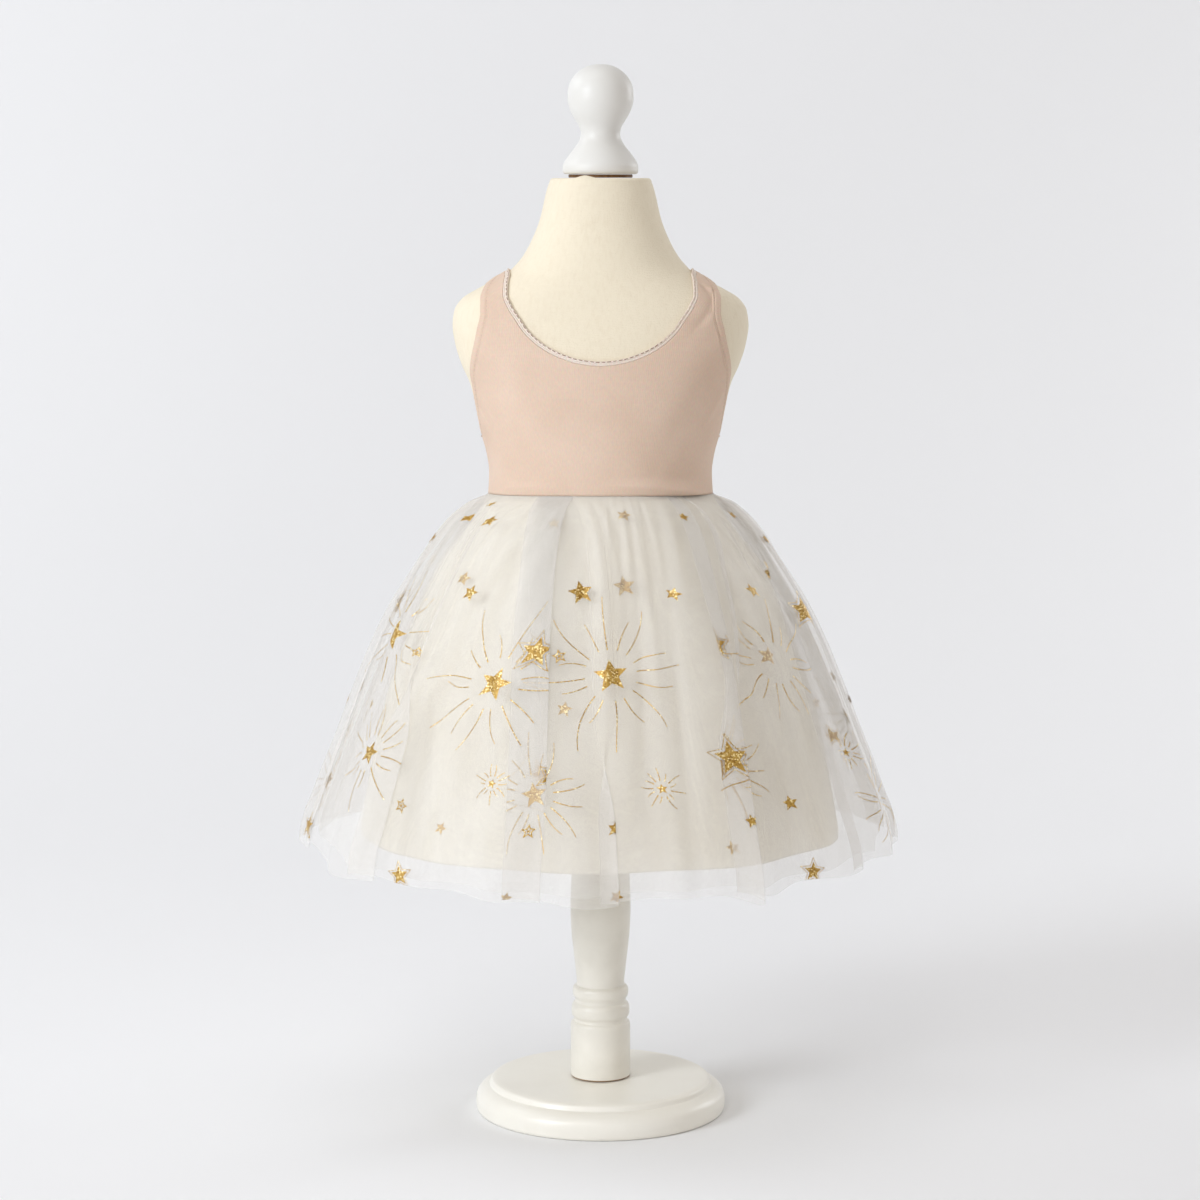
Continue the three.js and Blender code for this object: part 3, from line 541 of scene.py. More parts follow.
def knit_material(name, colour, light):
    """Fine jersey: upright ribs of stitches on the cloth, crossed by faint courses, with a soft
    mottle in the colour and a short matt nap. A wave's scale is its ribs per metre times pi/10."""
    look = start_material(name, colour, 0.9)
    cloud = ramp(look, noise(look, "Object", 30, 5), [(0.3, colour), (0.7, light)])
    fleck = noise(look, "UV", 900, 2, (1, 0.35, 1)).node.outputs["Color"]
    place = add_node(look, "TexCoord", {}).outputs["UV"]
    relief = None
    for direction, per_metre, depth in (("X", 760, 0.00012), ("Y", 950, 0.00008)):
        inputs = {"Vector": place, "Scale": np.pi / 10 * per_metre, "Distortion": 1.2, "Detail": 2}
        wave = add_node(look, "TexWave", inputs, bands_direction=direction)
        relief = bump(look, wave.outputs["Fac"], 0.35, depth, relief)
    return shade(look, {
        "Base Color": mixed(look, 0.18, cloud, fleck, "MULTIPLY"),
        "Normal": relief,
        "Sheen Weight": 0.1,
        "Sheen Roughness": 0.45,
        "Sheen Tint": (1, 0.9, 0.84, 1),
    })


def add_wall(piece, thickness):
    """Gives a sheet its thickness, inwards from its face."""
    wall = piece.modifiers.new("wall", "SOLIDIFY")
    wall.thickness = thickness * MM
    wall.offset = -1


blush_knit = knit_material("blush_jersey", KNIT_BLUSH, KNIT_LIGHT)
for panel in ("front", "back"):
    bodice = add_piece(
        f"bodice_{panel}_panel",
        [bodice_half(panel, 1), bodice_half(panel, -1)],
        blush_knit,
        [f"bodice_{panel}"],
    )
    add_wall(bodice, KNIT_THICKNESS)


# The neck binding: a strip of the same jersey folded over the neckline's raw edge. It is sewn
# down with small stitches near its inner edge, and a thin groove runs along its middle. Over a
# stretch of the front the stitches are coloured dark brown, as painted shade of the gaps under
# the binding's edge; elsewhere they are blush.
STRIP_SECTION = 44
NECK_STRIP_STEPS = 320
BINDING_LIFT = (0.3, 2.35)
BINDING_GROOVES = [(0.5, 0.15, 0.5)]
BINDING_STITCH = {"count": 130, "share": 0.68, "aside": 0.7, "wide": 0.62, "lift": 2.24, "high": 0.3}
# Painted shade: over this span of the stitches the thread is dark brown, for the shade in the gaps under
# the binding's edge.
SHADED_STITCH_SPAN = (-30, 12)
STITCH_PAINTED_SHADE = [(0.34, 0.21, 0.14, 1), (0.22, 0.12, 0.07, 1)]
STITCH_BLUSH = [(0.74, 0.60, 0.50, 1), (0.5, 0.34, 0.26, 1)]
BINDING_PALE = (0.83, 0.71, 0.61, 1)
BINDING_LIGHT = (0.89, 0.79, 0.70, 1)


def strip_mesh(edge, middle, width, lifts, grooves, steps, side=1):
    """A folded strip along an edge: a closed tube with the section of a flat rounded box.

    With an angle round the section, the distance from the edge goes as its cosine, and the lift
    off the form as its sine to the power 0.45, which keeps its sign. A groove is a bell-shaped
    hollow in the upper face. side -1 mirrors the strip.
    """
    t = np.linspace(0, 1, steps + 1)[:, None]
    angle = np.linspace(0, 2 * np.pi, STRIP_SECTION, endpoint=False)[None, :]
    share = 0.5 + 0.5 * np.cos(angle)
    box = np.sign(np.sin(angle)) * np.abs(np.sin(angle)) ** 0.45
    lift = lifts[0] + (lifts[1] - lifts[0]) * (0.5 + 0.5 * box)
    for place, half_width, depth in grooves:
        lift = lift - depth * np.exp(-(((share - place) / half_width) ** 2)) * (box > 0)
    lift = lift + 0.06 * np.sin(2 * np.pi * 61 * t) * (box > 0)
    turn, height = beside_edge(edge, t + 0 * share, share * width + 0 * t, middle)
    point, _, _, normal = form_frame(turn, height)
    points = point + normal * lift[..., None]
    points[..., 0] *= side
    length = np.linalg.norm(np.diff(points[:, 0], axis=0), axis=-1).sum()
    around = np.linspace(0, 2.4 * width, STRIP_SECTION + 1)[None, :]
    uv = np.stack(np.broadcast_arrays(t * length, around), axis=-1)
    return grid_mesh(points, uv, wrap=True)


def stitch_mesh(edge, middle, stitch, side=1, first=0, last=None):
    """A row of stitches along an edge: each is a small cushion whose lift falls off with the
    square of the distance from its middle, both along the edge and across it."""
    numbers = np.arange(first, stitch["count"] if last is None else last)
    centre = (numbers + 0.5)[:, None, None] / stitch["count"] % 1
    along = np.linspace(-0.5, 0.5, 5)[None, :, None]
    across = np.linspace(-0.5, 0.5, 3)[None, None, :]
    t = centre + along * stitch["share"] / stitch["count"] + 0 * across
    turn, height = beside_edge(edge, t % 1, stitch["aside"] + across * stitch["wide"] + 0 * t, middle)
    point, _, _, normal = form_frame(turn, height)
    rise = stitch["lift"] + stitch["high"] * (1 - 4 * along**2) * (1 - 4 * across**2) + 0 * t
    points = point + normal * rise[..., None]
    points[..., 0] *= side
    return grid_mesh(points)


def thread_material(name, colour, dark):
    """Spun sewing thread: a fleck of darker fibres and a fine twist in the bump."""
    look = start_material(name, colour, 0.7)
    fibre = noise(look, "Object", 2500, 2)
    return shade(look, {
        "Base Color": ramp(look, fibre, [(0.35, dark), (0.6, colour)]),
        "Normal": bump(look, fibre, 0.4, 0.0002),
    })


thread_painted_shade = thread_material("neck_thread_painted_shade", *STITCH_PAINTED_SHADE)
blush_thread = thread_material("blush_hem_thread", *STITCH_BLUSH)
pale_knit = knit_material("pale_binding_jersey", BINDING_PALE, BINDING_LIGHT)
binding = strip_mesh(
    neckline_edge, NECK_MIDDLE, NECK_BINDING_WIDTH, BINDING_LIFT, BINDING_GROOVES, NECK_STRIP_STEPS
)
add_piece("neck_binding_strip", [binding], pale_knit, ["neck_binding"], closed=True)
# The first row is dark brown as painted shade of the gaps under the binding's edge, the rest blush thread.
for thread_name, thread, ends in (
    ("painted_shade", thread_painted_shade, SHADED_STITCH_SPAN),
    ("blush", blush_thread, (SHADED_STITCH_SPAN[1], SHADED_STITCH_SPAN[0] + BINDING_STITCH["count"])),
):
    row = stitch_mesh(neckline_edge, NECK_MIDDLE, BINDING_STITCH, 1, *ends)
    add_piece(f"neck_binding_stitches_{thread_name}", [row], thread)


# The armhole bands: the bodice's raw edge turned in by seven millimetres all round each armhole
# and sewn down by one row of stitches. The turned edge is thicker and draws in a little there.
ARM_STRIP_STEPS = 220
BAND_LIFT = (0.3, 2.3)
BAND_GROOVES = [(0.78, 0.07, 0.4), (0.3, 0.16, 0.16)]
BAND_STITCH = {"count": 84, "share": 0.66, "aside": 5.5, "wide": 0.42, "lift": 1.95, "high": 0.3}

for side_name, side in (("right", -1), ("left", 1)):
    name = f"armhole_band_{side_name}"
    band = strip_mesh(
        armhole_edge, ARMHOLE_MIDDLE, ARMHOLE_HEM_WIDTH, BAND_LIFT, BAND_GROOVES, ARM_STRIP_STEPS, side
    )
    add_piece(f"{name}_strip", [band], blush_knit, [name], closed=True)
    row = stitch_mesh(armhole_edge, ARMHOLE_MIDDLE, BAND_STITCH, side)
    add_piece(f"{name}_stitches", [row], blush_thread)


# The skirt's lining: two flared pieces of cream satin sewn at the sides and into the waist seam,
# with a turned hem. It hangs free of the form in a few long soft folds, which catch the light.
GATHER_COUNT = 38
SKIRT_DEPTH_SHARE = 0.92
TUCK_FALL = 0.012
LINING = {
    "falls": [0, 0.03, 0.1, 0.2, 0.35, 0.5, 0.65, 0.82, 1],
    "flares": [0, 4.5, 16.5, 36.5, 54.5, 69.5, 81, 89.5, 96],
    "offset": 1.7,
    "tuck": 0,
    "hem": 219,
    "side_lift": 0,
}
LINING_WAVE = {"size": 2.6, "count": 9, "phase": 2.2}
LINING_LENGTH = 262
LINING_HEM = {"band": 14, "edge": 0.5, "step": 0.5, "stitch": 0.25, "below": 1.4, "wide": 0.7}
LINING_WALL = 0.5
LINING_COLUMNS = 320
LINING_ROWS = 90
# Long soft folds: the turn in degrees, half the width in degrees, and the rise at the hem.
LINING_FOLDS = [
    (-62, 7, 3.4), (-47, 5, -2.0), (-30, 6, 1.2), (-8, 9, 1.0), (14, 6, -1.2), (33, 7, 1.8),
    (50, 5, -1.4), (66, 7, 2.6), (96, 8, 2.0), (122, 6, -1.6), (143, 8, 2.6), (171, 7, 1.6),
    (196, 6, -1.4), (214, 8, 2.4), (241, 7, -1.2), (262, 8, 2.2),
]
SATIN_CREAM = (0.92, 0.875, 0.765, 1)
SATIN_SHADE = (0.87, 0.815, 0.69, 1)


def degrees_apart(turn, place):
    """How far a turn lies from a place in degrees, the short way round."""
    return (np.degrees(turn) - place + 180) % 360 - 180


def bells(table, turn):
    """Soft ridges round the skirt: each is a bell of the turn about its own, times its rise."""
    return sum(
        rise * np.exp(-((degrees_apart(turn, place) / spread) ** 2)) for place, spread, rise in table
    )


def flare_at(layer, fall):
    """How far a layer stands out from the waist seam, by its share of the way to the hem."""
    return smooth_through(layer["falls"], layer["flares"], fall)


def skirt_point(layer, turn, fall, rise, drop):
    """A point of a skirt layer, by its turn and its share of the way from the waist to the hem.

    It stands out from the waist seam by the layer's offset, its profile and the rise, less
    before and behind than at the sides, and its height runs evenly from the seam to the hem.
    The hem is lifted by the cube of the turn's sine and lowered by the drop. A bell of the fall
    draws the layer in where it is sewn under the bodice.
    """
    waist = waist_height(turn) - SEAM_GAP
    hem = layer["hem"] + layer["side_lift"] * np.abs(np.sin(turn)) ** 3 - drop
    offset = layer["offset"] - layer["tuck"] * np.exp(-((fall / TUCK_FALL) ** 2))
    flare = flare_at(layer, fall) + rise
    seat = form_point(turn, waist)
    x = seat[..., 0] + (offset + flare) * np.sin(turn)
    y = seat[..., 1] - (offset + flare * SKIRT_DEPTH_SHARE) * np.cos(turn)
    return np.stack([x, y, waist + (hem - waist) * fall], axis=-1)


def lining_point(gather, fall):
    """The lining: its folds grow evenly with the fall, and the turned hem stands out a little
    below a line of stitches, which sinks in."""
    turn = 2 * np.pi * gather / GATHER_COUNT
    wave = LINING_WAVE["size"] * np.sin(LINING_WAVE["count"] * turn + LINING_WAVE["phase"])
    rise = fall * wave + fall**1.3 * bells(LINING_FOLDS, turn)
    hem = LINING_HEM
    above_band = (1 - fall) * LINING_LENGTH - hem["band"]
    turned = 1 / (1 + np.exp(above_band / hem["edge"]))
    stitched = np.exp(-(((above_band + hem["below"]) / hem["wide"]) ** 2))
    rise = rise + hem["step"] * turned - hem["stitch"] * stitched
    return skirt_point(LINING, turn, fall, rise, 0 * turn)


def ring_sheet(point, columns, rows):
    """A layer of the skirt as one sheet all the way round. Its cloth coordinates are its width
    along the hem, which the gathers draw together above, and its length down the cloth."""
    gather = np.linspace(0, GATHER_COUNT, columns, endpoint=False)[None, :]
    fall = rows[:, None]
    points = point(gather + 0 * fall, fall + 0 * gather)
    steps = np.linalg.norm(np.diff(points[-1], axis=0, append=points[-1][:1]), axis=-1)
    width = np.concatenate([[0], np.cumsum(steps)])[None, :]
    down = np.linalg.norm(np.diff(points, axis=0), axis=-1).mean(axis=1)
    length = np.concatenate([[0], np.cumsum(down)])[:, None]
    uv = np.stack(np.broadcast_arrays(width, length), axis=-1)
    return grid_mesh(points, uv, wrap=True)


def satin_material():
    """Cream satin: long warp floats down the cloth in the bump and in the gloss, under a soft
    cloud of two creams."""
    look = start_material("cream_satin", SATIN_CREAM, 0.38)
    cloud = noise(look, "Object", 14, 3)
    floats = noise(look, "UV", 1600, 2, (1, 0.06, 1))
    return shade(look, {
        "Base Color": ramp(look, cloud, [(0.35, SATIN_SHADE), (0.6, SATIN_CREAM)]),
        "Roughness": scaled(look, floats, (0.3, 0.48)),
        "Normal": bump(look, floats, 0.3, 0.0002),
        "Sheen Weight": 0.3,
        "Sheen Roughness": 0.3,
    })


lining = add_piece(
    "skirt_lining_satin",
    [ring_sheet(lining_point, LINING_COLUMNS, np.linspace(0, 1, LINING_ROWS) ** 0.85)],
    satin_material(),
    ["skirt_lining_front", "skirt_lining_back"],
)
add_wall(lining, LINING_WALL)


# The skirt's two layers of tulle: each a long strip of ivory net, gathered to the waist seam
# and left raw at the hem. Fine gathers under the seam run out into long soft folds, and where
# the net doubles over itself in a leaning fold it looks whiter.
TULLE_FALLS = [0, 0.03, 0.09, 0.16, 0.24, 0.32, 0.41, 0.53, 0.67, 0.81, 1]
TULLE_INNER = {
    "falls": TULLE_FALLS,
    "flares": [0, 8, 23, 36, 48.5, 60.5, 71, 84, 97.5, 111, 125],
    "offset": 3.7,
    "tuck": 1.6,
    "hem": 212,
    "side_lift": 8,
    "gather_share": 0.7,
    "fold_share": 0.85,
    "trough_share": 0.69,
    "doubled": 0,
    "beat": 2.1,
}
TULLE_OUTER = {
    "falls": TULLE_FALLS,
    "flares": [0, 11.5, 27.5, 41, 54, 66.5, 78, 91, 105, 119, 134],
    "offset": 5.7,
    "tuck": 3.2,
    "hem": 209.5,
    "side_lift": 8,
    "gather_share": 1,
    "fold_share": 1,
    "trough_share": 1,
    "doubled": 1,
    "beat": 0.7,
}
FOLD_HEM_DROP = 0.5
FORM_WAIST_RADIUS = 84
# The largest folds: turn and spread in degrees, the rise at the hem, and where each starts.
TULLE_FOLDS = [
    (-3, 8, 9, 0.25), (16, 4, 4, 0.1), (32, 4, 9, 0.1), (51, 6, 5, 0.3), (71, 5, 6, 0.15),
    (92, 6, 4, 0.3), (111, 7, 11, 0.2), (134, 7, 6, 0.15), (157, 6, 9, 0.25), (181, 7, 6, 0.1),
    (205, 6, 9, 0.2), (228, 7, 6, 0.3), (250, 7, 9, 0.15), (273, 6, 5, 0.2), (303, 6, 9, 0.2),
    (322, 5, 4, 0.1), (340, 5, 6, 0.1),
]
# Leaning folds, where the tulle doubles over itself: the turn of the middle at the waist and at
# the hem, the width, where along the fall it opens and closes, how far the upper net stands off,
# and how far it hangs below the rest. A negative width leans the other way.
PLEATS = [
    (-23, -14.4, 20.5, -0.3, 9, 4.5, 1.5),
    (-1, 2.2, 12, 0.5, 9, 3.5, 2.5),
    (34.6, 28, 13, -0.3, 9, 4.5, 7),
    (51.8, 32.6, 10, -0.3, 0.66, 3.5, 0),
    (66, 56.5, 11, 0.08, 9, 3.5, 2.5),
    (-54, -50, 20, 0.35, 9, 4, 4),
    (-84, -80, 14, 0, 9, 4, 3),
    (84, 86, 15, 0, 9, 4, 3),
    (118, 112, -16, -0.2, 9, 4.5, 4),
    (150, 146, 15, 0.2, 9, 4, 2),
    (178, 176, -17, -0.3, 9, 4.5, 4),
    (207, 211, 14, 0.1, 0.85, 3.5, 0),
    (238, 233, -16, -0.2, 9, 4.5, 4),
]
# Soft troughs between the folds: the turn at the waist and at the hem, half the width in degrees,
# the depth, and where each starts and ends along the fall.
TULLE_TROUGHS = [
    (-6.5, 1, 3.4, 4.5, 0, 1.1), (-29, -27, 2.4, 3, 0.05, 0.9), (13, 10, 2.4, 3.5, 0, 0.9),
    (22, 18, 2.2, 3, 0.1, 1.1), (44.5, 40, 2.4, 3.5, 0.05, 1.1), (-41, -38, 2.8, 3.5, 0.05, 1.1),
    (-66, -63, 2.6, 3, 0.2, 1.1), (72, 66, 2.6, 3, 0.1, 1), (100, 103, 3, 4, 0, 1.1),
    (130, 126, 2.4, 3, 0.1, 0.9), (163, 160, 2.6, 4, 0, 1.1), (194, 191, 2.4, 3, 0.1, 0.9),
    (220, 223, 3, 4, 0.05, 1.1), (252, 250, 2.6, 3, 0, 0.9), (263, 261, 2.4, 3, 0.2, 1.1),
]
GATHER_RISE = ([0, 0.03, 0.1, 0.25, 0.5, 0.75, 1], [0, 1.5, 2.3, 2.2, 1.3, 0.7, 0.4])
FINE_RISE = ([0, 0.012, 0.05, 0.12, 0.25, 0.45, 1], [0.2, 0.8, 1.15, 0.95, 0.45, 0.15, 0.05])
LONG_RISE = ([0, 0.05, 0.2, 0.5, 0.8, 1], [0, 0.6, 1.2, 1.2, 0.8, 0.7])
TULLE_IVORY = (0.85, 0.825, 0.785, 1)
TULLE_SHADE = (0.81, 0.782, 0.738, 1)
HOLE_COVER = 0.2
THREAD_COVER = 0.38


def smooth_step(value, start, end):
    """0 before the start, 1 after the end, and the cubic between them."""
    share = np.clip((value - start) / (end - start), 0, 1)
    return share**2 * (3 - 2 * share)


def tulle_folds(turn, fall):
    """The large folds: each is a bell of the turn that grows from its start down to the hem."""
    total = np.zeros(np.shape(turn + fall))
    for place, spread, rise, start in TULLE_FOLDS:
        bell = np.exp(-((degrees_apart(turn, place) / spread) ** 2))
        total += rise * smooth_step(fall, start, 1) * bell
    return total


def tulle_troughs(turn, fall):
    """The soft troughs: each is a bell of the turn about a line down the skirt, with faded ends."""
    total = np.zeros(np.shape(turn + fall))
    for at_waist, at_hem, spread, depth, start, end in TULLE_TROUGHS:
        middle = at_hem + (at_waist - at_hem) * (1 - fall) ** 2
        fade = smooth_step(fall, start, start + 0.15) * (1 - smooth_step(fall, end - 0.2, end))
        total += depth * fade * np.exp(-((degrees_apart(turn, middle) / spread) ** 2))
    return total


def leaning_folds(layer, turn, fall):
    """The shift of the turn, the lift and the drop that make the leaning folds, and how much of
    the gathers is left there, where the net is pulled flat.

    With q the distance from a fold's middle in its widths, the net moves against q by
    2.5 q exp(-q q / 2) widths, so that it runs back under itself between q -0.7 and 0.7. The lift
    and the drop are bells about q -1.6 and -1.15, the upper net, and the drop grows with the fall.
    Only the outer layer is doubled. The inner one lies flat under its folds.
    """
    radius = FORM_WAIST_RADIUS + flare_at(layer, fall)
    shift, lift, drop = (np.zeros(np.shape(turn + fall)) for _ in range(3))
    gathers = np.ones(np.shape(turn + fall))
    for at_waist, at_hem, width, opens, closes, height, hang in PLEATS:
        middle = np.radians(at_hem + (at_waist - at_hem) * (1 - fall) ** 2)
        apart = (turn - middle + np.pi) % (2 * np.pi) - np.pi
        q = apart * radius / width
        growth = smooth_step(fall, opens, opens + 0.3) * (1 - smooth_step(fall, closes - 0.25, closes))
        shift -= 2.5 * q * np.exp(-(q**2) / 2) * growth * width / radius
        lift += height * growth * smooth_step(fall, 0, 0.08) * np.exp(-(((q + 1.6) / 1.3) ** 2))
        drop += hang * growth * fall**2 * np.exp(-(((q + 1.15) / 0.75) ** 2))
        gathers *= 1 - 0.88 * growth * np.exp(-((q / 1.9) ** 4))
    doubled = layer["doubled"]
    return doubled * shift, doubled * lift, doubled * drop, gathers


def gather_turn(gather):
    """The turn of a gather: even round the waist, and shifted a little by two waves."""
    even = 2 * np.pi * gather / GATHER_COUNT
    uneven = 0.35 * np.sin(3 * even + 0.4) + 0.2 * np.sin(7 * even + 2)
    return even, even + 2 * np.pi / GATHER_COUNT * uneven


def tulle_point(layer, gather, fall):
    """A point of a tulle layer. Its turn is its gather's, shifted in the leaning folds. The rise
    adds the gathers as a cosine, finer ones under the seam and longer ones down to the hem, each
    on an uneven beat, and the folds. Both layers are drawn up by one thread, so their fine
    gathers nest."""
    even, turn = gather_turn(gather)
    shift, lift, drop, gathers = leaning_folds(layer, turn, fall)
    rise = (1 + 0.3 * np.sin(5 * turn + 0.8)) * smooth_through(*GATHER_RISE, fall)
    rise = rise * np.cos(2 * np.pi * gather)
    fine_beat = 95 * even + 1.3 * np.sin(11 * even + 0.7) + 0.8 * np.sin(23 * even)
    rise = rise + smooth_through(*FINE_RISE, fall) * (1 + 0.5 * np.sin(9 * even)) * np.cos(fine_beat)
    long_beat = 53 * even + 1.6 * np.sin(8 * even + layer["beat"]) + 0.5 * np.sin(3 * fall + 5 * even)
    long_size = 1 + 0.6 * np.sin(13 * even + 2 * layer["beat"])
    rise = rise + smooth_through(*LONG_RISE, fall) * long_size * np.cos(long_beat)
    folds = layer["fold_share"] * tulle_folds(turn + shift, fall)
    troughs = layer["trough_share"] * tulle_troughs(turn + shift, fall)
    rise = layer["gather_share"] * gathers * rise + folds + lift - troughs
    return skirt_point(layer, turn + shift, fall, rise, FOLD_HEM_DROP * folds + drop)


def tulle_material(name, hole, thread):
    """Ivory tulle: a fine net of threads, dense along the edges of its cells and clear between,
    as the shader's alpha. The net is finer than a render shows, so it reads as a soft haze."""
    look = start_material(name, TULLE_IVORY, 0.75)
    place = add_node(look, "TexCoord", {}).outputs["UV"]
    inputs = {"Vector": place, "Scale": 1250, "Randomness": 0.3}
    net = add_node(look, "TexVoronoi", inputs, voronoi_dimensions="2D", feature="DISTANCE_TO_EDGE")
    cover = scaled(look, net.outputs["Distance"], (thread, hole), (0.04, 0.16))
    haze = noise(look, "UV", 60, 1, (1, 0.2, 1))
    shares = {0: cover, 1: scaled(look, haze, (0.86, 1.14))}
    alpha = add_node(look, "Math", shares, operation="MULTIPLY", use_clamp=True)
    return shade(look, {
        "Alpha": alpha.outputs["Value"],
        "Base Color": ramp(look, haze, [(0.3, TULLE_SHADE), (0.55, TULLE_IVORY)]),
        "Normal": bump(look, noise(look, "UV", 38, 2, (1, 0.25, 1)), 0.35, 0.002),
        "Sheen Weight": 0.2,
        "Sheen Roughness": 0.4,
    })


for layer_name, layer, columns, rows in (("inner", TULLE_INNER, 640, 64), ("outer", TULLE_OUTER, 960, 92)):
    name = f"skirt_tulle_{layer_name}"
    falls = np.linspace(0, 1, rows) ** 1.35
    sheet = ring_sheet(lambda gather, fall: tulle_point(layer, gather, fall), columns, falls)
    look = tulle_material(f"ivory_tulle_{layer_name}", HOLE_COVER, THREAD_COVER)
    nodes = [f"{name}_front", f"{name}_back"]
    add_piece(f"{name}_net", [sheet], look, nodes)


# The star print: gold glitter glued to the tulle in stars, outlined stars and stars in a wreath
# of dashed rays. The print repeats twice round the skirt, and folds and the hem cut through it.
REPEAT = GATHER_COUNT / 2
PRINT_LIFT = 0.3
CLOTH_LENGTH = 270
REACH, REACH_STEPS = 9, 1800
# The motifs of each kind: the gather round the waist and the fall of its middle, its size in
# millimetres and its tilt in degrees.
OUTER_PRINT = {
    "burst": [
        (-2.73, 0.469, 13, 8), (0.03, 0.443, 12.5, -6), (-7.12, 0.384, 12.5, 12),
        (-0.85, 0.74, 9.5, -12), (-6.5, 0.68, 9, 5), (3.2, 0.68, 9, 31), (8.3, 0.86, 8.5, -15),
    ],
    "wreath": [
        (4.73, 0.437, 11, 20),
    ],
    "outlined": [
        (-2.42, 0.383, 17, 4), (2.28, 0.651, 18.5, -8), (8.01, 0.323, 18, 10), (4.25, 0.978, 11, 8),
        (-3.49, 0.977, 11, -14), (-9.04, 0.94, 12, 3), (-1.7, 0.69, 12, 18), (3.1, 0.37, 13, 9),
    ],
    "star": [
        (-6.73, 0.062, 4.5, 9), (-4.96, 0.063, 5.5, -5), (-6.01, 0.022, 2.8, 0), (-3.99, 0.248, 7, 11),
        (-0.4, 0.238, 9.5, -10), (1.86, 0.242, 5.5, 16), (-0.3, 0.814, 5.8, 14), (4.1, 0.798, 6, -7),
        (3.85, 0.05, 4.5, 22), (7.54, 0.055, 4.5, -20), (5.17, 0.248, 6.5, 5), (6.4, 0.215, 5, 25),
        (2.42, 0.8, 5, -12), (9.1, 0.6, 5.2, 13), (8.9, 0.13, 5, 6), (-8.6, 0.55, 6, -11),
        (0.4, 0.985, 5, 30), (-1.05, 0.995, 4.5, 12),
    ],
    "hollow": [
        (-0.65, 0.396, 5.5, -14), (-5.58, 0.415, 4.5, 6), (-3.64, 0.806, 6, 12),
        (-2.04, 0.826, 5.6, -4), (6.1, 0.56, 4.6, -8),
    ],
    "sun": [
        (-2.43, 0.714, 3.6, 5), (1.1, 0.727, 3.8, -9), (7.64, 0.712, 3.6, 14),
    ],
}
INNER_PRINT = {
    "star": [
        (-4.95, 0.22, 6, 10), (0.47, 0.226, 8.5, -7), (0.76, 0.047, 5.5, 15), (-1.82, 0.068, 5, -12),
        (-1.02, 0.536, 6, 8), (4.89, 0.427, 8, 17), (-7.9, 0.6, 5, 4), (-3.1, 0.86, 5, 21),
        (2.7, 0.9, 5.5, -16), (8.4, 0.2, 6, 12),
    ],
    "outlined": [
        (7.71, 0.675, 10, -9),
    ],
}
GOLD_DEEP = (0.30, 0.15, 0.02, 1)
GOLD_MID = (0.53, 0.32, 0.065, 1)
# Painted glint: the colour of the brightest glitter flakes.
GOLD_PAINTED_GLINT = (0.98, 0.82, 0.42, 1)


def star_outline(size, tilt, steps):
    """A five-pointed star: ten corners at the size and at 0.45 of it in turn, with straight
    lines between them. Every other point is a little shorter, as if cut by hand."""
    corner = np.arange(10)
    radius = np.where(corner % 2 == 0, size * (1 - 0.05 * np.cos(2.5 * corner)), 0.45 * size)
    angle = np.radians(tilt) + np.pi * corner / 5
    corners = np.stack([radius * np.sin(angle), radius * np.cos(angle)], axis=-1)
    at = np.linspace(0, 10, 10 * steps + 1)
    low = np.floor(at).astype(int) % 10
    share = (at - np.floor(at))[:, None]
    return corners[low] * (1 - share) + corners[(low + 1) % 10] * share


def star_patch(size, tilt, inner):
    """A star, filled from its middle or from an inner share of its outline, as one grid."""
    rows = 2 + int(size * (1 - inner) / 1.6)
    share = np.linspace(inner, 1, rows + 1)[:, None, None]
    return [(star_outline(size, tilt, 2 + int(size / 3))[None] * share)[None]]


def ray_patches(size, tilt, reach, count, dashes, width):
    """Dashed rays round a star: ray i leaves at its even angle, bends by a sine of i with the
    square of its way out, and is long or short in turn. Each dash is one small grid."""
    ray = np.arange(count)[:, None, None, None]
    dash = np.arange(dashes)[None, :, None, None]
    along = np.linspace(0, 0.82, 3)[None, None, :, None]
    across = np.array([-0.5, 0.5])[None, None, None, :]
    way = (dash + along) / dashes
    longest = size * reach * np.where(ray % 2 == 0, 1, 0.72) * (1 + 0.1 * np.sin(2.7 * ray + tilt))
    out = size * 1.5 + (longest - size * 1.5) * way
    angle = np.radians(tilt) + 2 * np.pi * (ray + 0.25 * np.sin(3.1 * ray)) / count
    angle = angle + 0.16 * np.sin(2.3 * ray + tilt) * way**2
    side = across * width * (1 - 0.35 * way)
    x = out * np.sin(angle) + side * np.cos(angle)
    y = out * np.cos(angle) - side * np.sin(angle)
    return [np.stack([x, y], axis=-1).reshape(count * dashes, 3, 2, 2)]


def motif_patches(kind, size, tilt):
    """The flat grids of one motif, in millimetres to the right and up on the cloth."""
    if kind == "star":
        return star_patch(size, tilt, 0)
    if kind == "hollow":
        return star_patch(size, tilt, 0.62) + star_patch(0.3 * size, tilt, 0)
    if kind == "outlined":
        return star_patch(size, tilt, 1 - 1.1 / size) + star_patch(0.68 * size, tilt, 0)
    if kind == "sun":
        return star_patch(size, tilt, 0) + ray_patches(size, tilt, 4.2, 13, 4, 0.75)
    rays = ray_patches(size, tilt, 4.5, 16, 17, 0.85)
    return rays if kind == "wreath" else star_patch(size, tilt, 0) + rays


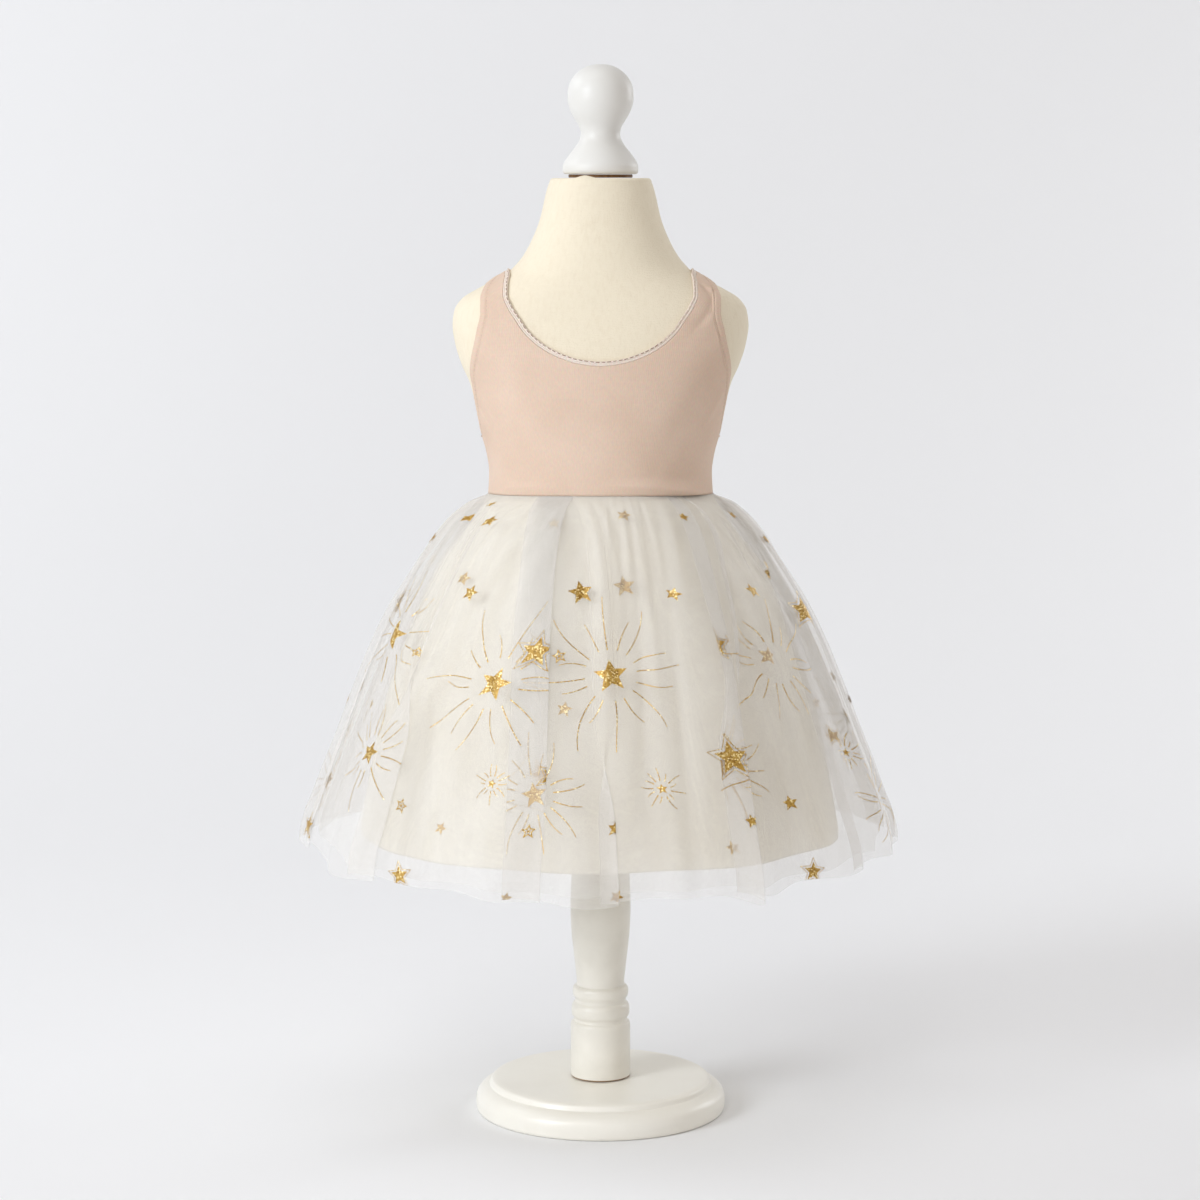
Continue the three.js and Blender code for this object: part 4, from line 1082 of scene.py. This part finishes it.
def cloth_places(layer, gather, fall):
    """For a row of the cloth, places on both sides of a motif's middle: their distance from it
    along the cloth, folds included, in millimetres, and their gather."""
    around = gather + np.linspace(-REACH, REACH, 2 * REACH_STEPS + 1)
    turn = gather_turn(around)[1]
    shift, lift, _, _ = leaning_folds(layer, turn, fall)
    radius = FORM_WAIST_RADIUS + flare_at(layer, fall) + lift
    steps = np.hypot(np.diff(turn + shift) * radius[1:], np.diff(lift))
    distance = np.concatenate([[0], np.cumsum(steps)])
    return distance - distance[REACH_STEPS], around


def print_meshes(layer, motifs):
    """A layer's print: the flat motifs laid on the cloth by their distance along it and down its
    slope from the motif's middle, cut off at the hem and lifted a little off the net."""
    rows = [(kind, *row) for kind, table in motifs.items() for row in table]
    rows += [(kind, place + REPEAT, *rest) for kind, place, *rest in rows]
    meshes = []
    for kind, place, fall, size, tilt in rows:
        slope = (flare_at(layer, min(fall + 0.03, 1)) - flare_at(layer, max(fall - 0.03, 0))) / 0.06
        distance, gathers = cloth_places(layer, place, fall)
        for flat in motif_patches(kind, size, tilt):
            gather = np.interp(flat[..., 0], distance, gathers)
            down = np.clip(fall - flat[..., 1] / np.hypot(CLOTH_LENGTH, slope), 0.004, 0.999)
            sideways = tulle_point(layer, gather + 0.02, down) - tulle_point(layer, gather - 0.02, down)
            hanging = tulle_point(layer, gather, down + 0.001) - tulle_point(layer, gather, down - 0.001)
            normal = np.cross(hanging, sideways)
            normal /= np.linalg.norm(normal, axis=-1, keepdims=True)
            meshes.append(grid_mesh(tulle_point(layer, gather, down) + PRINT_LIFT * normal))
    return meshes


def glitter_material(name, deep, middle, painted_glint):
    """Gold glitter: each flake, a cell of the cloth's surface, has its own gold from deep to middle,
    and its own tilt in the bump, so that some of them flash. The brightest flakes are painted
    glints."""
    look = start_material(name, middle, 0.42)
    place = add_node(look, "TexCoord", {}).outputs["Object"]
    flakes = add_node(look, "TexVoronoi", {"Vector": place, "Scale": 1000}).outputs["Color"]
    tell = add_node(look, "SeparateColor", {"Color": flakes}).outputs
    # The top stops paint the brightest flakes as glints.
    stops = [(0.08, deep), (0.34, middle), (0.76, middle), (0.9, painted_glint), (1, painted_glint)]
    return shade(look, {
        "Base Color": ramp(look, tell["Red"], stops),
        "Normal": bump(look, tell["Green"], 0.7, 0.0006),
        "Metallic": 0.3,
    })


gold_glitter_painted_glints = glitter_material("gold_glitter_painted_glints", GOLD_DEEP, GOLD_MID, GOLD_PAINTED_GLINT)
for layer_name, layer, motifs, flat in (
    ("inner", TULLE_INNER, INNER_PRINT, (1.28, 0.30)),
    ("outer", TULLE_OUTER, OUTER_PRINT, (1.42, 0.31)),
):
    meshes = print_meshes(layer, motifs)
    star_print = add_piece(f"star_print_{layer_name}", meshes, gold_glitter_painted_glints)


# The photographer's sweep: a pale paper floor that curves up into the background behind the
# stand, lit softly from the left, with a weak fill from the right and one behind.
SWEEP_COLOUR = (0.885, 0.887, 0.895, 1)
SWEEP_FRONT, SWEEP_BACK, SWEEP_HALF_WIDTH, SWEEP_CURVE, SWEEP_HEIGHT = -5.0, 2.6, 6.0, 1.6, 5.5
CAMERA_PLACE = (-0.0004, -2.52, 0.718)
CAMERA_TILT = 7.26
CAMERA_LENS = 100
# Each light: its name, place, aim, size, watts, spread in degrees and colour.
LIGHTS = [
    ("window", (-2.5, -2.1, 1.6), (0, 0, 0.42), 1.4, 64, 180, (0.89, 0.94, 1)),
    ("front_fill", (0.3, -3.6, 1.0), (0, 0, 0.3), 2.4, 7.5, 180, (1, 0.95, 0.9)),
    ("right_fill", (2.6, -0.9, 1.0), (0, 0, 0.4), 1.8, 3.9, 180, (1, 0.88, 0.78)),
    ("right_rim", (2.2, 1.5, 1.2), (0, 0, 0.5), 1.0, 13, 180, (0.93, 0.97, 1)),
    ("top", (-0.3, -0.2, 3.2), (0, 0, 0.2), 2.6, 17.5, 180, (0.95, 0.97, 1)),
    ("floor_front", (-0.5, -1.9, 1.7), (0, -0.15, 0), 1.0, 0.85, 50, (1, 1, 1)),
    ("backdrop_left", (-2.2, 0.9, 2.2), (-0.6, 2.8, 0.6), 1.6, 19, 180, (0.92, 0.96, 1)),
    ("backdrop_right", (2.4, 0.9, 2.2), (0.8, 2.8, 0.6), 1.6, 6.8, 180, (0.94, 0.97, 1)),
]
ROOM_LIGHT = (0.93, 0.862, 0.813, 1)
ROOM_STRENGTH = 0.34


def sweep_mesh():
    """A floor that turns up into a wall by a quarter circle, of equal section across."""
    bend = np.linspace(0, np.pi / 2, 25)
    curve_y = SWEEP_BACK - SWEEP_CURVE + SWEEP_CURVE * np.sin(bend)
    curve_z = SWEEP_CURVE * (1 - np.cos(bend))
    y = np.concatenate([[SWEEP_FRONT], curve_y, [SWEEP_BACK]])
    z = np.concatenate([[0], curve_z, [SWEEP_HEIGHT]])
    x = np.array([SWEEP_HALF_WIDTH, -SWEEP_HALF_WIDTH])
    points = np.stack(np.broadcast_arrays(x[None, :], y[:, None], z[:, None]), axis=-1)
    return grid_mesh(points / MM)


def paper_material():
    """Matt studio paper with a barely visible cloud in its tone."""
    look = start_material("sweep_paper", SWEEP_COLOUR, 0.9)
    cloud = noise(look, "Object", 1.2, 2)
    darker = tuple(0.985 * value for value in SWEEP_COLOUR[:3]) + (1,)
    return shade(look, {"Base Color": ramp(look, cloud, [(0.3, darker), (0.7, SWEEP_COLOUR)])})


sweep = bpy.data.objects.new("paper_sweep", sweep_mesh())
sweep.data.materials.append(paper_material())
sweep.data.shade_smooth()
bpy.context.scene.collection.objects.link(sweep)

for name, place, aim, size, watts, spread, colour in LIGHTS:
    lamp = bpy.data.lights.new(name, "AREA")
    lamp.shape = "DISK"
    lamp.size = size
    lamp.energy = watts
    lamp.color = colour
    lamp.spread = np.radians(spread)
    holder = bpy.data.objects.new(name, lamp)
    holder.location = place
    holder.rotation_euler = (Vector(aim) - Vector(place)).to_track_quat("-Z", "Y").to_euler()
    bpy.context.scene.collection.objects.link(holder)

room = bpy.data.worlds.new("studio_room")
room.use_nodes = True
feed(room, room.node_tree.nodes["Background"], {"Color": ROOM_LIGHT, "Strength": ROOM_STRENGTH})
bpy.context.scene.world = room
bpy.context.scene.view_settings.view_transform = "Standard"

camera = bpy.data.cameras.new("camera")
camera.lens = CAMERA_LENS
camera.sensor_width = 36
viewpoint = bpy.data.objects.new("camera", camera)
viewpoint.location = CAMERA_PLACE
viewpoint.rotation_euler = (np.radians(90 - CAMERA_TILT), 0, 0)
bpy.context.scene.collection.objects.link(viewpoint)
bpy.context.scene.camera = viewpoint
